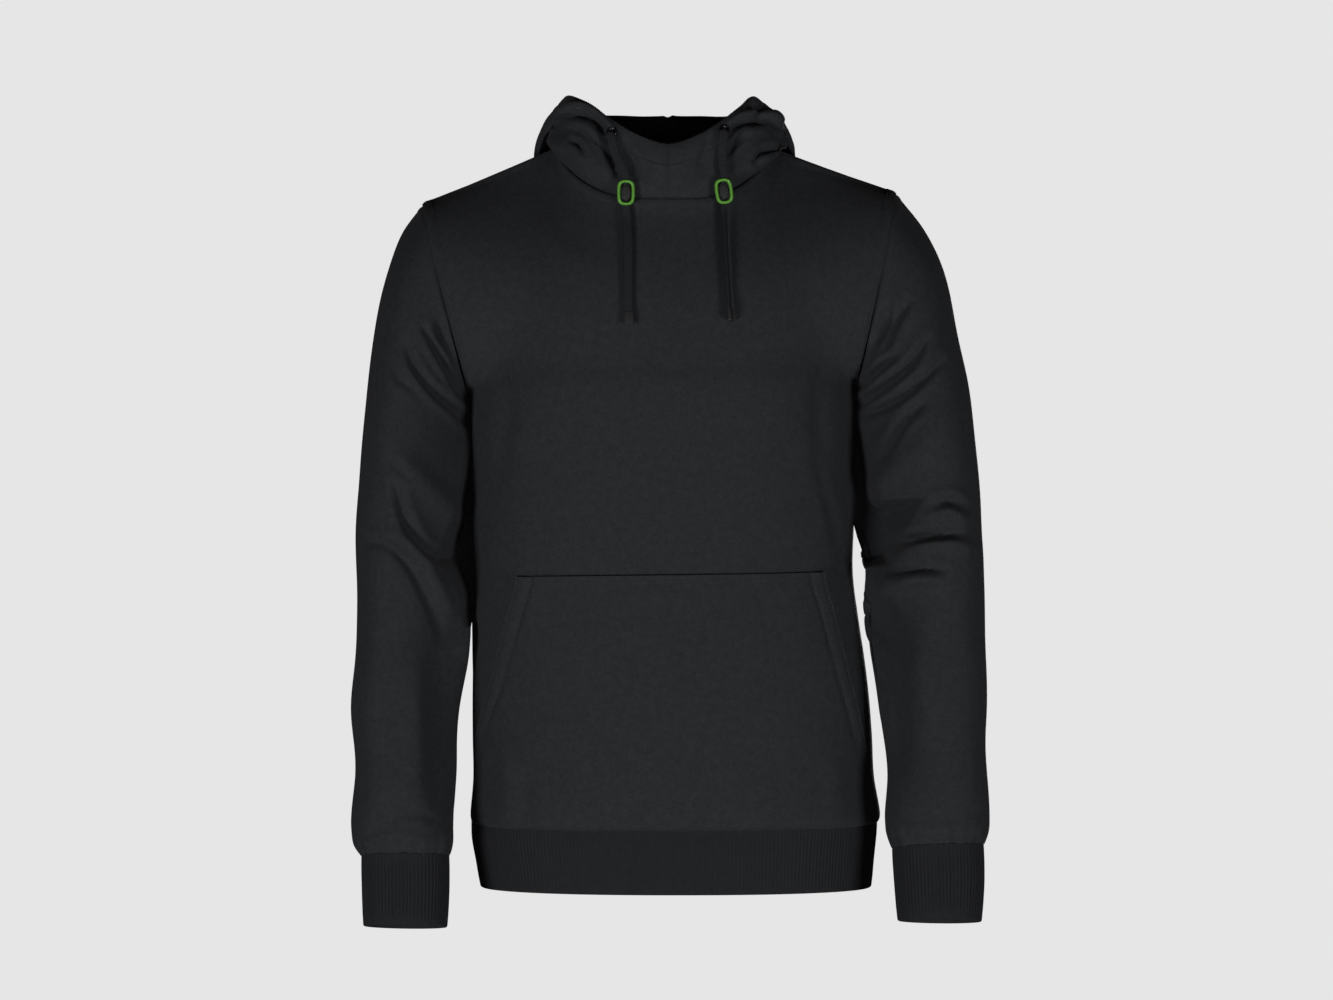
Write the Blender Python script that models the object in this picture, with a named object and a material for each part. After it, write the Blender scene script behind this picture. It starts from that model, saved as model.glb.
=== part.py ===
"""Pullover hoodie in brushed sweatshirt knit, standing hollow in its worn form.

Units are metres, +Z is up and the front faces -Y, so +X is the wearer's left.
The origin is on the line of the neck sides, midway between front and back.

Every sewn piece is a wall of cloth: a grid of points on its outer face, and a second grid
moved inwards. Where two pieces are sewn together they share the same points and the same
way inwards, and each is drawn back by half a seam gap.
"""
import math
from collections import namedtuple

import bmesh
import bpy
from mathutils import Matrix, Vector

WALL = 0.0025                 # cloth thickness
GAP = 0.0003                  # between two pieces at a seam
HALF_GAP = GAP / 2
UP = Vector((0, 0, 1))
LONGEST_LEAD = 1.5            # how far a curve may lead into a span, in lengths of that span

# ---------------------------------------------------------------- body of the garment
Section = namedtuple("Section", "z left right front back")
TORSO = (
    Section(-0.6290, -0.1865, 0.1985, 0.1120, 0.1120),      # sewn into the hem rib
    Section(-0.6190, -0.1880, 0.2010, 0.1180, 0.1180),      # cloth blouses over the rib
    Section(-0.5850, -0.1850, 0.1950, 0.1190, 0.1180),
    Section(-0.5300, -0.1855, 0.1925, 0.1190, 0.1150),
    Section(-0.4710, -0.1860, 0.1860, 0.1190, 0.1100),
    Section(-0.3950, -0.1865, 0.1765, 0.1180, 0.1060),      # waist
    Section(-0.3300, -0.1870, 0.1775, 0.1200, 0.1080),
    Section(-0.2700, -0.1878, 0.1780, 0.1230, 0.1120),
    Section(-0.2200, -0.1880, 0.1780, 0.1250, 0.1150),      # underarm
)
HEM = (
    Section(-0.6880, -0.1780, 0.1930, 0.1100, 0.1100),      # free edge
    Section(-0.6640, -0.1820, 0.1950, 0.1120, 0.1120),
    Section(-0.6450, -0.1855, 0.1970, 0.1130, 0.1130),
    Section(-0.6290, -0.1865, 0.1985, 0.1120, 0.1120),
)
JOIN_Z = TORSO[0].z
BODY_LEVELS = (JOIN_Z, -0.619, -0.585, -0.547, -0.509, -0.471, -0.432, -0.3925,
               -0.352, -0.310, -0.267, -0.220)
ROUNDNESS = 2.3               # exponent of the body's rounded sections
SIDE_COLUMNS = 4              # grid columns along each shoulder seam
QUARTER_COLUMNS = 6           # grid columns along each quarter of the neckline
COLUMNS = 2 * (SIDE_COLUMNS + QUARTER_COLUMNS)
YOKE_ROWS = 8                 # grid rows between the underarm and the shoulder

Armhole = namedtuple("Armhole", "under_x under_z tip_x tip_z half_depth")
ARMHOLES = {
    "right": Armhole(-0.1880, -0.225, -0.2330, -0.043, 0.075),     # wearer's right, at -X
    "left": Armhole(0.1780, -0.215, 0.2166, -0.032, 0.075),
}
EDGE_SWELL = 0.075            # how far the yoke swells out at the armhole, and at the centre
CENTRE_SWELL = {"front": 0.008, "back": 0.014}

# ---------------------------------------------------------------- neckline
NECK_Y = -0.010
NECK_HALF_WIDTH = {"right": 0.105, "left": 0.096}
NECK_FRONT = 0.075
NECK_BACK = 0.072
NECK_FRONT_Z = -0.0415
NECK_RISE = 0.0665            # from centre front to centre back
RISE_START = math.radians(15)
RISE_SPAN = math.radians(105)

# ---------------------------------------------------------------- kangaroo pocket
POCKET_TOP_Z = -0.3925
POCKET_TOP_X = {"right": -0.139, "left": 0.1436}
POCKET_SLANT = 0.25           # how far the hand opening runs outwards for each metre down
POCKET_SIDE_TURN = 0.075      # the lowest side edge, as a part of the turn between side seams
POCKET_FIRST = 3              # grid columns between a side seam and the pocket

# ---------------------------------------------------------------- sleeves and cuffs
Ring = namedtuple("Ring", "place outer_x outer_z inner_x inner_z centre_y half_depth lean fall")
SLEEVES = {
    "right": (
        Ring(0.00, -0.2330, -0.043, -0.1880, -0.225, 0.000, 0.075, 0.00, 0.00),
        Ring(0.07, -0.2530, -0.072, -0.1895, -0.237, -0.004, 0.077, 0.00, 0.10),
        Ring(0.15, -0.2665, -0.112, -0.1890, -0.254, -0.014, 0.076, 0.00, 0.35),
        Ring(0.25, -0.2785, -0.170, -0.1880, -0.279, -0.025, 0.073, 0.02, 0.60),
        Ring(0.36, -0.2855, -0.238, -0.1860, -0.315, -0.038, 0.070, 0.04, 0.78),
        Ring(0.48, -0.2915, -0.310, -0.1850, -0.362, -0.045, 0.068, 0.06, 0.88),
        Ring(0.60, -0.2935, -0.382, -0.1850, -0.412, -0.048, 0.065, 0.09, 0.88),
        Ring(0.71, -0.2920, -0.448, -0.1865, -0.465, -0.053, 0.061, 0.12, 0.72),
        Ring(0.81, -0.2960, -0.517, -0.1960, -0.520, -0.062, 0.055, 0.14, 0.45),
        Ring(0.90, -0.2910, -0.580, -0.1990, -0.580, -0.071, 0.049, 0.15, 0.25),
        Ring(0.97, -0.2935, -0.640, -0.2010, -0.640, -0.079, 0.044, 0.15, 0.12),
        Ring(1.00, -0.2860, -0.656, -0.2040, -0.656, -0.081, 0.036, 0.15, 0.00),
    ),
    "left": (
        Ring(0.00, 0.2166, -0.032, 0.1780, -0.215, 0.000, 0.075, 0.00, 0.00),
        Ring(0.07, 0.2430, -0.068, 0.1800, -0.227, -0.004, 0.077, 0.00, 0.10),
        Ring(0.15, 0.2605, -0.108, 0.1800, -0.244, -0.014, 0.076, 0.00, 0.35),
        Ring(0.25, 0.2740, -0.168, 0.1790, -0.268, -0.025, 0.073, 0.02, 0.60),
        Ring(0.36, 0.2860, -0.236, 0.1765, -0.303, -0.038, 0.071, 0.04, 0.78),
        Ring(0.48, 0.2935, -0.308, 0.1765, -0.345, -0.045, 0.069, 0.06, 0.88),
        Ring(0.60, 0.2965, -0.380, 0.1860, -0.395, -0.048, 0.066, 0.09, 0.82),
        Ring(0.71, 0.2975, -0.446, 0.1885, -0.452, -0.053, 0.061, 0.12, 0.65),
        Ring(0.81, 0.2985, -0.513, 0.1970, -0.515, -0.062, 0.055, 0.14, 0.45),
        Ring(0.90, 0.2955, -0.576, 0.2045, -0.578, -0.071, 0.049, 0.15, 0.25),
        Ring(0.97, 0.2990, -0.628, 0.2040, -0.630, -0.079, 0.044, 0.15, 0.12),
        Ring(1.00, 0.2945, -0.646, 0.2090, -0.649, -0.081, 0.036, 0.15, 0.00),
    ),
}
CUFFS = {
    "right": (
        Ring(0.0, -0.2860, -0.656, -0.2040, -0.656, -0.081, 0.036, 0.15, 0.00),
        Ring(0.5, -0.2850, -0.687, -0.2040, -0.688, -0.086, 0.0355, 0.15, 0.00),
        Ring(1.0, -0.2836, -0.718, -0.2053, -0.719, -0.091, 0.034, 0.15, 0.00),
    ),
    "left": (
        Ring(0.0, 0.2945, -0.646, 0.2090, -0.649, -0.081, 0.036, 0.15, 0.00),
        Ring(0.5, 0.2945, -0.679, 0.2110, -0.680, -0.086, 0.0355, 0.15, 0.00),
        Ring(1.0, 0.2920, -0.714, 0.2135, -0.713, -0.091, 0.034, 0.15, 0.00),
    ),
}
AROUND = 2 * YOKE_ROWS        # points round a sleeve, two for each row of the armhole
SLEEVE_RINGS = 20
CUFF_RINGS = 2

# The largest folds of the sleeves. Place runs down the sleeve and turn runs round it, both
# from 0 to 1: 0 is the inside of the arm, 0.25 its front and 0.5 its outside.
Fold = namedtuple("Fold", "place turn slope reach half_width height")
FOLDS = {
    "right": (
        Fold(0.42, 0.20, -0.25, 0.16, 0.035, 0.0040),       # drag line from the armpit
        Fold(0.60, 0.12, 0.00, 0.14, 0.040, 0.0050),        # inside of the elbow
        Fold(0.68, 0.15, 0.30, 0.14, 0.035, -0.0045),
        Fold(0.93, 0.30, 0.10, 0.30, 0.040, 0.0030),        # slack above the cuff
    ),
    "left": (
        Fold(0.40, 0.18, -0.25, 0.16, 0.035, 0.0040),
        Fold(0.55, 0.14, 0.00, 0.14, 0.030, -0.0060),
        Fold(0.62, 0.18, -0.10, 0.18, 0.032, 0.0070),
        Fold(0.70, 0.12, 0.25, 0.14, 0.035, -0.0050),
        Fold(0.93, 0.28, -0.10, 0.30, 0.040, 0.0030),
    ),
}

# ---------------------------------------------------------------- hood
# A row for each section round the neck, from centre front (0 degrees) to centre back (180).
# Each point of a section has its distance out from the neck seam and its height: the cloth
# stands up, turns over, falls to the bottom of the pouch, rises on the far side, and ends
# over a crest at the edge of the face opening.
HoodRow = namedtuple("HoodRow", (
    "degrees stand_out stand_z turn_out turn_z fall_out fall_z "
    "far_out far_z crest_out crest_z rim_out rim_z"))
BACK_OF_HOOD = (
    HoodRow(120, 0.006, 0.035, 0.014, 0.038, 0.044, -0.020, 0.046, 0.008,
            0.014, 0.051, 0.001, 0.050),
    HoodRow(150, 0.006, 0.036, 0.012, 0.039, 0.078, -0.148, 0.094, -0.070,
            0.045, 0.048, 0.033, 0.047),
    HoodRow(180, 0.006, 0.036, 0.012, 0.039, 0.088, -0.185, 0.108, -0.095,
            0.054, 0.049, 0.042, 0.0475),
)
HOODS = {
    "right": (
        HoodRow(0, 0.0020, -0.031, 0.0030, -0.022, 0.0035, -0.013, 0.0030, -0.005,
                0.0015, 0.004, -0.0005, 0.0097),
        HoodRow(30, 0.0060, -0.022, 0.0020, -0.003, 0.0030, 0.006, 0.0035, 0.015,
                0.0010, 0.026, -0.0030, 0.0325),
        HoodRow(45, 0.0110, -0.008, 0.0030, 0.018, 0.0045, 0.027, 0.0045, 0.035,
                0.0000, 0.0450, -0.0050, 0.0480),
        HoodRow(60, 0.0130, 0.006, 0.0040, 0.026, 0.0065, 0.035, 0.0055, 0.045,
                -0.0010, 0.0560, -0.0075, 0.0550),
        HoodRow(75, 0.0120, 0.013, 0.0040, 0.028, 0.0065, 0.037, 0.0045, 0.047,
                -0.0060, 0.0585, -0.0130, 0.0565),
        HoodRow(90, 0.0095, 0.019, 0.0020, 0.030, 0.0020, 0.038, -0.0020, 0.048,
                -0.0130, 0.0590, -0.0190, 0.0565),
    ) + BACK_OF_HOOD,
    "left": (
        HoodRow(0, 0.0020, -0.031, 0.0030, -0.022, 0.0035, -0.013, 0.0030, -0.005,
                0.0015, 0.004, -0.0005, 0.0097),
        HoodRow(30, 0.0050, -0.023, 0.0020, -0.006, 0.0030, 0.004, 0.0035, 0.013,
                0.0010, 0.023, -0.0030, 0.0300),
        HoodRow(45, 0.0090, -0.012, 0.0030, 0.010, 0.0040, 0.020, 0.0040, 0.030,
                0.0000, 0.0420, -0.0040, 0.0455),
        HoodRow(60, 0.0130, -0.001, 0.0060, 0.020, 0.0075, 0.030, 0.0040, 0.042,
                -0.0050, 0.0555, -0.0105, 0.0545),
        HoodRow(75, 0.0150, 0.006, 0.0090, 0.021, 0.0110, 0.031, 0.0050, 0.043,
                -0.0090, 0.0580, -0.0150, 0.0560),
        HoodRow(90, 0.0170, 0.012, 0.0120, 0.024, 0.0110, 0.032, 0.0050, 0.042,
                -0.0100, 0.0575, -0.0170, 0.0550),
    ) + BACK_OF_HOOD,
}
HOOD_SPANS = (2, 3, 4, 4, 3, 2)         # grid rows between one point of a section and the next
HOOD_STEP = 90 / QUARTER_COLUMNS        # degrees between two columns

# ---------------------------------------------------------------- drawcord and its fittings
CORD_RADIUS = 0.002           # of the round tube that stands in for the flat braid
CORD_ROUTES = {               # from the eyelet, through the lock, to the tip
    "right": (
        (-0.0524, -0.0786, 0.0207), (-0.0533, -0.0838, 0.0190), (-0.0525, -0.0860, 0.0120),
        (-0.0490, -0.0868, -0.0010), (-0.0425, -0.0882, -0.0130), (-0.0391, -0.0890, -0.0235),
        (-0.0391, -0.0890, -0.0366), (-0.0389, -0.0890, -0.0490), (-0.0380, -0.0912, -0.0620),
        (-0.0373, -0.0990, -0.0800), (-0.0371, -0.1072, -0.1000), (-0.0371, -0.1140, -0.1200),
        (-0.0368, -0.1186, -0.1380), (-0.0363, -0.1206, -0.1490),
    ),
    "left": (
        (0.0526, -0.0758, 0.0229), (0.0530, -0.0812, 0.0215), (0.0515, -0.0835, 0.0140),
        (0.0505, -0.0840, -0.0010), (0.0514, -0.0846, -0.0115), (0.0521, -0.0850, -0.0220),
        (0.0521, -0.0850, -0.0351), (0.0523, -0.0850, -0.0475), (0.0531, -0.0872, -0.0610),
        (0.0540, -0.0959, -0.0800), (0.0550, -0.1053, -0.1000), (0.0560, -0.1124, -0.1200),
        (0.0570, -0.1173, -0.1380), (0.0575, -0.1191, -0.1455),
    ),
}
CORD_STEPS = 3                # points of the cord's spline between two points of its route
EYELET_FACING = {"right": Vector((-0.18, -0.96, 0.22)), "left": Vector((0.28, -0.91, 0.30))}
EYELET_OUTER, EYELET_HOLE, EYELET_DEPTH = 0.0050, 0.0027, 0.0014
LOCK_PLACE = 6                # the point of the route that is the middle of the lock
LOCK_WIDTH, LOCK_HEIGHT, LOCK_DEPTH = 0.0166, 0.0242, 0.0080
LOCK_HOLE_WIDTH, LOCK_HOLE_HEIGHT, LOCK_HOLE_LIFT = 0.0104, 0.0148, 0.0004
CORE_DEPTH = 0.0066
LOCK_TURN = {"right": 0.0, "left": math.radians(-4)}
CHANNEL_RADIUS = 0.0026       # of the bore that the cord runs through
TIP_WIDTH, TIP_THICKNESS, TIP_LENGTH = 0.0085, 0.0030, 0.0128
CHAMFER = 0.0006


# ---------------------------------------------------------------- small helpers
def mix(a, b, part):
    return a + (b - a) * part


def smoothstep(part):
    part = min(max(part, 0.0), 1.0)
    return part * part * (3 - 2 * part)


def between(rows, at):
    """The row of a table at a value of its first column, on a smooth curve through the rows."""
    rows = sorted(rows)
    last = len(rows) - 1
    at = min(max(at, rows[0][0]), rows[last][0])
    k = 0
    while k < last - 1 and at > rows[k + 1][0]:
        k += 1
    lower, upper = rows[k], rows[k + 1]
    before, after = rows[max(k - 1, 0)], rows[min(k + 2, last)]
    span = upper[0] - lower[0]
    t = (at - lower[0]) / span
    values = []
    for column in range(len(lower)):
        slope_in = (upper[column] - before[column]) / (upper[0] - before[0]) * span
        slope_out = (after[column] - lower[column]) / (after[0] - lower[0]) * span
        values.append(lower[column] * (1 + 2 * t) * (1 - t) ** 2 + slope_in * t * (1 - t) ** 2
                      + upper[column] * t * t * (3 - 2 * t) + slope_out * t * t * (t - 1))
    return type(lower)(*values)


def shortened(vector, longest):
    return vector * min(1, longest / max(vector.length, 1e-9))


def curve_through(points, spans):
    """Points on a smooth curve through the given points, with a number of steps per span."""
    result = [points[0].copy()]
    for k, steps in enumerate(spans):
        before = points[max(k - 1, 0)]
        after = points[min(k + 2, len(points) - 1)]
        longest = LONGEST_LEAD * (points[k + 1] - points[k]).length
        for step in range(1, steps + 1):
            t = step / steps
            lead_in = shortened((points[k + 1] - before) * 0.5, longest)
            lead_out = shortened((after - points[k]) * 0.5, longest)
            result.append(points[k] * ((1 + 2 * t) * (1 - t) ** 2) + lead_in * (t * (1 - t) ** 2)
                          + points[k + 1] * (t * t * (3 - 2 * t)) + lead_out * (t * t * (t - 1)))
    return result


def material(name, colour, roughness, metallic=0.0):
    made = bpy.data.materials.new(name)
    made.use_nodes = True
    shader = made.node_tree.nodes["Principled BSDF"]
    shader.inputs["Base Color"].default_value = (*colour, 1)
    shader.inputs["Roughness"].default_value = roughness
    shader.inputs["Metallic"].default_value = metallic
    return made


def add_object(name, mesh, finish, smooth=True):
    mesh.materials.append(finish)
    if smooth:
        mesh.shade_smooth()
        mesh.set_sharp_from_angle(angle=math.radians(40))
    piece = bpy.data.objects.new(name, mesh)
    bpy.context.collection.objects.link(piece)
    return piece


def grid_normals(grid, closed=False, outward=None):
    """The unit normal at each point of a grid, facing the way that outward tells."""
    rows, columns = len(grid), len(grid[0])
    normals = []
    for j in range(rows):
        line = []
        for i in range(columns):
            if closed:
                along = grid[j][(i + 1) % columns] - grid[j][i - 1]
            else:
                along = grid[j][min(i + 1, columns - 1)] - grid[j][max(i - 1, 0)]
            upward = grid[min(j + 1, rows - 1)][i] - grid[max(j - 1, 0)][i]
            line.append(along.cross(upward).normalized())
        normals.append(line)
    j, i, way = outward
    if normals[j][i].dot(way) < 0:
        normals = [[-normal for normal in line] for line in normals]
    return normals


def wall(name, outer, inner, finish, closed=False):
    """One closed solid between an outer and an inner grid of points."""
    shape = bmesh.new()
    rows, columns = len(outer), len(outer[0])
    faces = [[[shape.verts.new(point) for point in line] for line in grid]
             for grid in (outer, inner)]
    front, back = faces
    steps = columns if closed else columns - 1
    for j in range(rows - 1):
        for i in range(steps):
            k = (i + 1) % columns
            shape.faces.new((front[j][i], front[j][k], front[j + 1][k], front[j + 1][i]))
            shape.faces.new((back[j][i], back[j + 1][i], back[j + 1][k], back[j][k]))
    for i in range(steps):
        k = (i + 1) % columns
        shape.faces.new((front[0][i], back[0][i], back[0][k], front[0][k]))
        shape.faces.new((front[-1][i], front[-1][k], back[-1][k], back[-1][i]))
    if not closed:
        for j in range(rows - 1):
            shape.faces.new((front[j][0], front[j + 1][0], back[j + 1][0], back[j][0]))
            shape.faces.new((front[j][-1], back[j][-1], back[j + 1][-1], front[j + 1][-1]))
    bmesh.ops.recalc_face_normals(shape, faces=shape.faces)
    mesh = bpy.data.meshes.new(name)
    shape.to_mesh(mesh)
    shape.free()
    return add_object(name, mesh, finish)


# ---------------------------------------------------------------- shared lines of the garment
def section_point(section, turn, side):
    """A point of a rounded section; turn runs from the -X side seam (0) to the +X one (1)."""
    middle = (section.left + section.right) / 2
    half = (section.right - section.left) / 2
    cosine, sine = math.cos(math.pi * turn), math.sin(math.pi * turn)
    x = middle - half * math.copysign(abs(cosine) ** (2 / ROUNDNESS), cosine)
    depth = -section.front if side == "front" else section.back
    return Vector((x, depth * max(sine, 0.0) ** (2 / ROUNDNESS), section.z))


def pocket_turn(z, side):
    """Where the pocket's edge lies at a height, as a part of the turn between side seams."""
    section = between(TORSO, z)
    middle = (section.left + section.right) / 2
    half = (section.right - section.left) / 2
    outwards = -1 if side == "right" else 1
    x = POCKET_TOP_X[side] + outwards * POCKET_SLANT * (POCKET_TOP_Z - z)
    ratio = min(abs(x - middle) / half, 1.0)
    turn = math.acos(ratio ** (ROUNDNESS / 2)) / math.pi
    turn = max(turn, POCKET_SIDE_TURN)
    return turn if side == "right" else 1 - turn


def front_turns(z):
    """The columns of the front: two of them follow the pocket's slanted edges."""
    first, last = POCKET_FIRST, COLUMNS - POCKET_FIRST
    near = pocket_turn(min(z, POCKET_TOP_Z), "right")
    far = pocket_turn(min(z, POCKET_TOP_Z), "left")
    if z > POCKET_TOP_Z:
        upwards = smoothstep((z - POCKET_TOP_Z) / (BODY_LEVELS[-1] - POCKET_TOP_Z))
        near = mix(near, first / COLUMNS, upwards)
        far = mix(far, last / COLUMNS, upwards)
    turns = []
    for i in range(COLUMNS + 1):
        if i <= first:
            turns.append(near * i / first)
        elif i <= last:
            turns.append(mix(near, far, (i - first) / (last - first)))
        else:
            turns.append(mix(far, 1.0, (i - last) / first))
    return turns


def turns_at(z, side):
    if side == "front":
        return front_turns(z)
    return [i / COLUMNS for i in range(COLUMNS + 1)]


def neck_point(angle, side):
    """A point of the neck seam; the angle runs from centre front (0) to centre back (pi)."""
    outwards = -1 if side == "right" else 1
    depth = NECK_FRONT if angle < math.pi / 2 else NECK_BACK
    return Vector((outwards * NECK_HALF_WIDTH[side] * math.sin(angle),
                   NECK_Y - depth * math.cos(angle),
                   NECK_FRONT_Z + NECK_RISE * smoothstep((angle - RISE_START) / RISE_SPAN)))


def neck_outwards(angle, side):
    """The level way out of the neck, square to the neck seam."""
    outwards = -1 if side == "right" else 1
    depth = NECK_FRONT if angle < math.pi / 2 else NECK_BACK
    return Vector((outwards * math.sin(angle) / NECK_HALF_WIDTH[side],
                   -math.cos(angle) / depth, 0)).normalized()


def neck_seam(angle, side):
    """The neck seam's way inwards through both walls, and its way across the gap."""
    rising = 0.25 + 0.9 * math.sin(angle) ** 2
    out = neck_outwards(angle, side)
    return -(out + rising * UP), (UP - rising * out).normalized()


def armhole_point(side, part, depth_sign):
    """A point of the armhole; part runs from the underarm (0) to the shoulder tip (1)."""
    hole = ARMHOLES[side]
    low, high = Vector((hole.under_x, 0, hole.under_z)), Vector((hole.tip_x, 0, hole.tip_z))
    swing = math.pi * part
    return (mix(low, high, (1 - math.cos(swing)) / 2)
            + Vector((0, depth_sign * hole.half_depth * math.sin(swing), 0)))


def armhole_frame(side):
    """The armhole's centre and the way square to its plane, towards the chest."""
    low, high = armhole_point(side, 0, 1), armhole_point(side, 1, 1)
    across = (high - low).cross(Vector((0, 1, 0))).normalized()
    if across.x * low.x > 0:
        across = -across
    return (low + high) / 2, across


def armhole_inwards(side, part, depth_sign, towards_chest):
    """The way through the wall at the armhole; at the underarm the two pieces part in a V."""
    centre, across = armhole_frame(side)
    inwards = (centre - armhole_point(side, part, depth_sign)).normalized()
    parting = 0.6 * max(math.cos(math.pi * part), 0) ** 2
    return (inwards + across * parting * towards_chest).normalized()


# ---------------------------------------------------------------- front and back
def top_point(column, side):
    """The upper edge of a panel: a shoulder seam, the neckline, and the other shoulder seam."""
    near = "right" if column <= COLUMNS // 2 else "left"
    place = min(column, COLUMNS - column)
    face = 0 if side == "front" else 1
    if place >= SIDE_COLUMNS:
        from_side = (place - SIDE_COLUMNS) / QUARTER_COLUMNS
        angle = math.pi / 2 * (1 - from_side) if face == 0 else math.pi / 2 * (1 + from_side)
        return neck_point(angle, near), angle, near
    tip = armhole_point(near, 1, 1)
    return mix(tip, neck_point(math.pi / 2, near), place / SIDE_COLUMNS), None, near


def panel_grid(side):
    """The outer points of the front or the back, from the hem join to the top."""
    sign = -1 if side == "front" else 1
    grid = []
    underarm_z = [mix(ARMHOLES["right"].under_z, ARMHOLES["left"].under_z, i / COLUMNS)
                  for i in range(COLUMNS + 1)]
    for level in BODY_LEVELS:
        raised = (level - JOIN_Z) / (BODY_LEVELS[-1] - JOIN_Z)
        line = []
        for i, turn in enumerate(turns_at(level, side)):
            point = section_point(between(TORSO, level), turn, side)
            point.z = mix(JOIN_Z, underarm_z[i], raised)
            line.append(point)
        grid.append(line)
    for row in range(1, YOKE_ROWS + 1):
        part = row / YOKE_ROWS
        line = []
        for i in range(COLUMNS + 1):
            from_middle = abs(2 * i / COLUMNS - 1)
            near_edge = max(from_middle - 0.6, 0) / 0.4
            climb = mix(part, (1 - math.cos(math.pi * part)) / 2, near_edge)
            swell = mix(CENTRE_SWELL[side], EDGE_SWELL, from_middle ** 1.5)
            bow = math.sin(math.pi * part) ** (1.7 - 0.7 * near_edge)
            point = mix(grid[len(BODY_LEVELS) - 1][i], top_point(i, side)[0], climb)
            line.append(point + Vector((0, sign * swell * bow, 0)))
        grid.append(line)
    return grid


def panel(side, finish):
    """The front or the back, with its seams drawn back and its wall turned in along them."""
    sign = -1 if side == "front" else 1
    outer = panel_grid(side)
    top, yoke = len(outer) - 1, len(BODY_LEVELS) - 1
    normals = grid_normals(outer, outward=(yoke, COLUMNS // 2, Vector((0, sign, 0))))
    ways = [[-normal * WALL for normal in line] for line in normals]
    shifts = [[Vector() for _ in line] for line in outer]
    for i in range(COLUMNS + 1):
        level_way = Vector((ways[0][i].x, ways[0][i].y, 0)).normalized()
        ways[0][i] = level_way * WALL
        shifts[0][i] += UP * HALF_GAP
        point, angle, near = top_point(i, side)
        if angle is None:
            along = neck_point(math.pi / 2, near) - armhole_point(near, 1, 1)
            down = Vector((along.z, 0, -along.x)).normalized()
            ways[top][i] = (down if down.z < 0 else -down) * WALL
            shifts[top][i] += Vector((0, sign * HALF_GAP, 0))
        else:
            inwards, across = neck_seam(angle, near)
            ways[top][i] = inwards * WALL
            shifts[top][i] -= across * HALF_GAP
            if min(i, COLUMNS - i) == SIDE_COLUMNS:
                shifts[top][i] += Vector((0, sign * HALF_GAP, 0))
    for i, near in ((0, "right"), (COLUMNS, "left")):
        to_chest = 1 if near == "right" else -1
        for j in range(top + 1):
            if j <= yoke:
                ways[j][i] = Vector((to_chest * WALL, 0, 0))
                shifts[j][i] += Vector((0, sign * HALF_GAP, 0))
            if j >= yoke:
                part = (j - yoke) / YOKE_ROWS
                ways[j][i] = armhole_inwards(near, part, sign, 1) * WALL
                shifts[j][i] += armhole_frame(near)[1] * HALF_GAP
    placed = [[point + shift for point, shift in zip(*pair)] for pair in zip(outer, shifts)]
    inner = [[point + way for point, way in zip(*pair)] for pair in zip(placed, ways)]
    wall(side + "_body", placed, inner, finish)
    return placed, normals


def pocket(front, normals, finish):
    """The pocket, from the front's own points moved out."""
    top = BODY_LEVELS.index(POCKET_TOP_Z)
    inner, outer = [], []
    for j in range(top + 1):
        columns = range(POCKET_FIRST, COLUMNS - POCKET_FIRST + 1)
        ways = [normals[j][i] for i in columns]
        if j == 0:
            ways = [Vector((way.x, way.y, 0)).normalized() for way in ways]
        inner.append([front[j][i] + way * GAP for i, way in zip(columns, ways)])
        outer.append([front[j][i] + way * (GAP + WALL) for i, way in zip(columns, ways)])
    wall("pocket", outer, inner, finish)


def hem_band(finish):
    """The rib round the bottom, its points in line with the front's and the back's."""
    turns = [(turn, "front") for turn in turns_at(JOIN_Z, "front")[:-1]]
    turns += [(1 - turn, "back") for turn in turns_at(JOIN_Z, "back")[:-1]]
    outer = [[section_point(section, turn, side) for turn, side in turns] for section in HEM]
    outer[-1] = [point - UP * HALF_GAP for point in outer[-1]]
    normals = grid_normals(outer, closed=True, outward=(0, COLUMNS // 2, Vector((0, -1, 0))))
    inner = []
    for line, ways in zip(outer, normals):
        level = [Vector((way.x, way.y, 0)).normalized() for way in ways]
        inner.append([point - way * WALL for point, way in zip(line, level)])
    wall("hem_band", outer, inner, finish, closed=True)


# ---------------------------------------------------------------- sleeves and cuffs
def ring_point(ring, turn):
    """A point of a sleeve ring; turn runs from the inside of the arm over its front."""
    inside = Vector((ring.inner_x, ring.centre_y, ring.inner_z))
    outside = Vector((ring.outer_x, ring.centre_y, ring.outer_z))
    forwards = Vector((0, -math.cos(ring.lean), math.sin(ring.lean)))
    swing = 2 * math.pi * turn
    slack = ring.fall * ((1 + math.cos(swing)) / 2) ** 2 if math.sin(swing) > 0 else 0
    return mix(inside, outside, (1 - math.cos(swing)) / 2) + forwards * (
        ring.half_depth * math.sin(swing) * (1 - slack))


def fold_height(folds, place, turn):
    """How far the folds move a point of the sleeve out, or in where it is negative."""
    total = 0.0
    for fold in folds:
        around = (turn - fold.turn + 0.5) % 1 - 0.5
        along = place - fold.place - fold.slope * around
        total += fold.height * math.exp(-(along / fold.half_width) ** 2
                                        - (around / fold.reach) ** 2)
    return total


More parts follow.
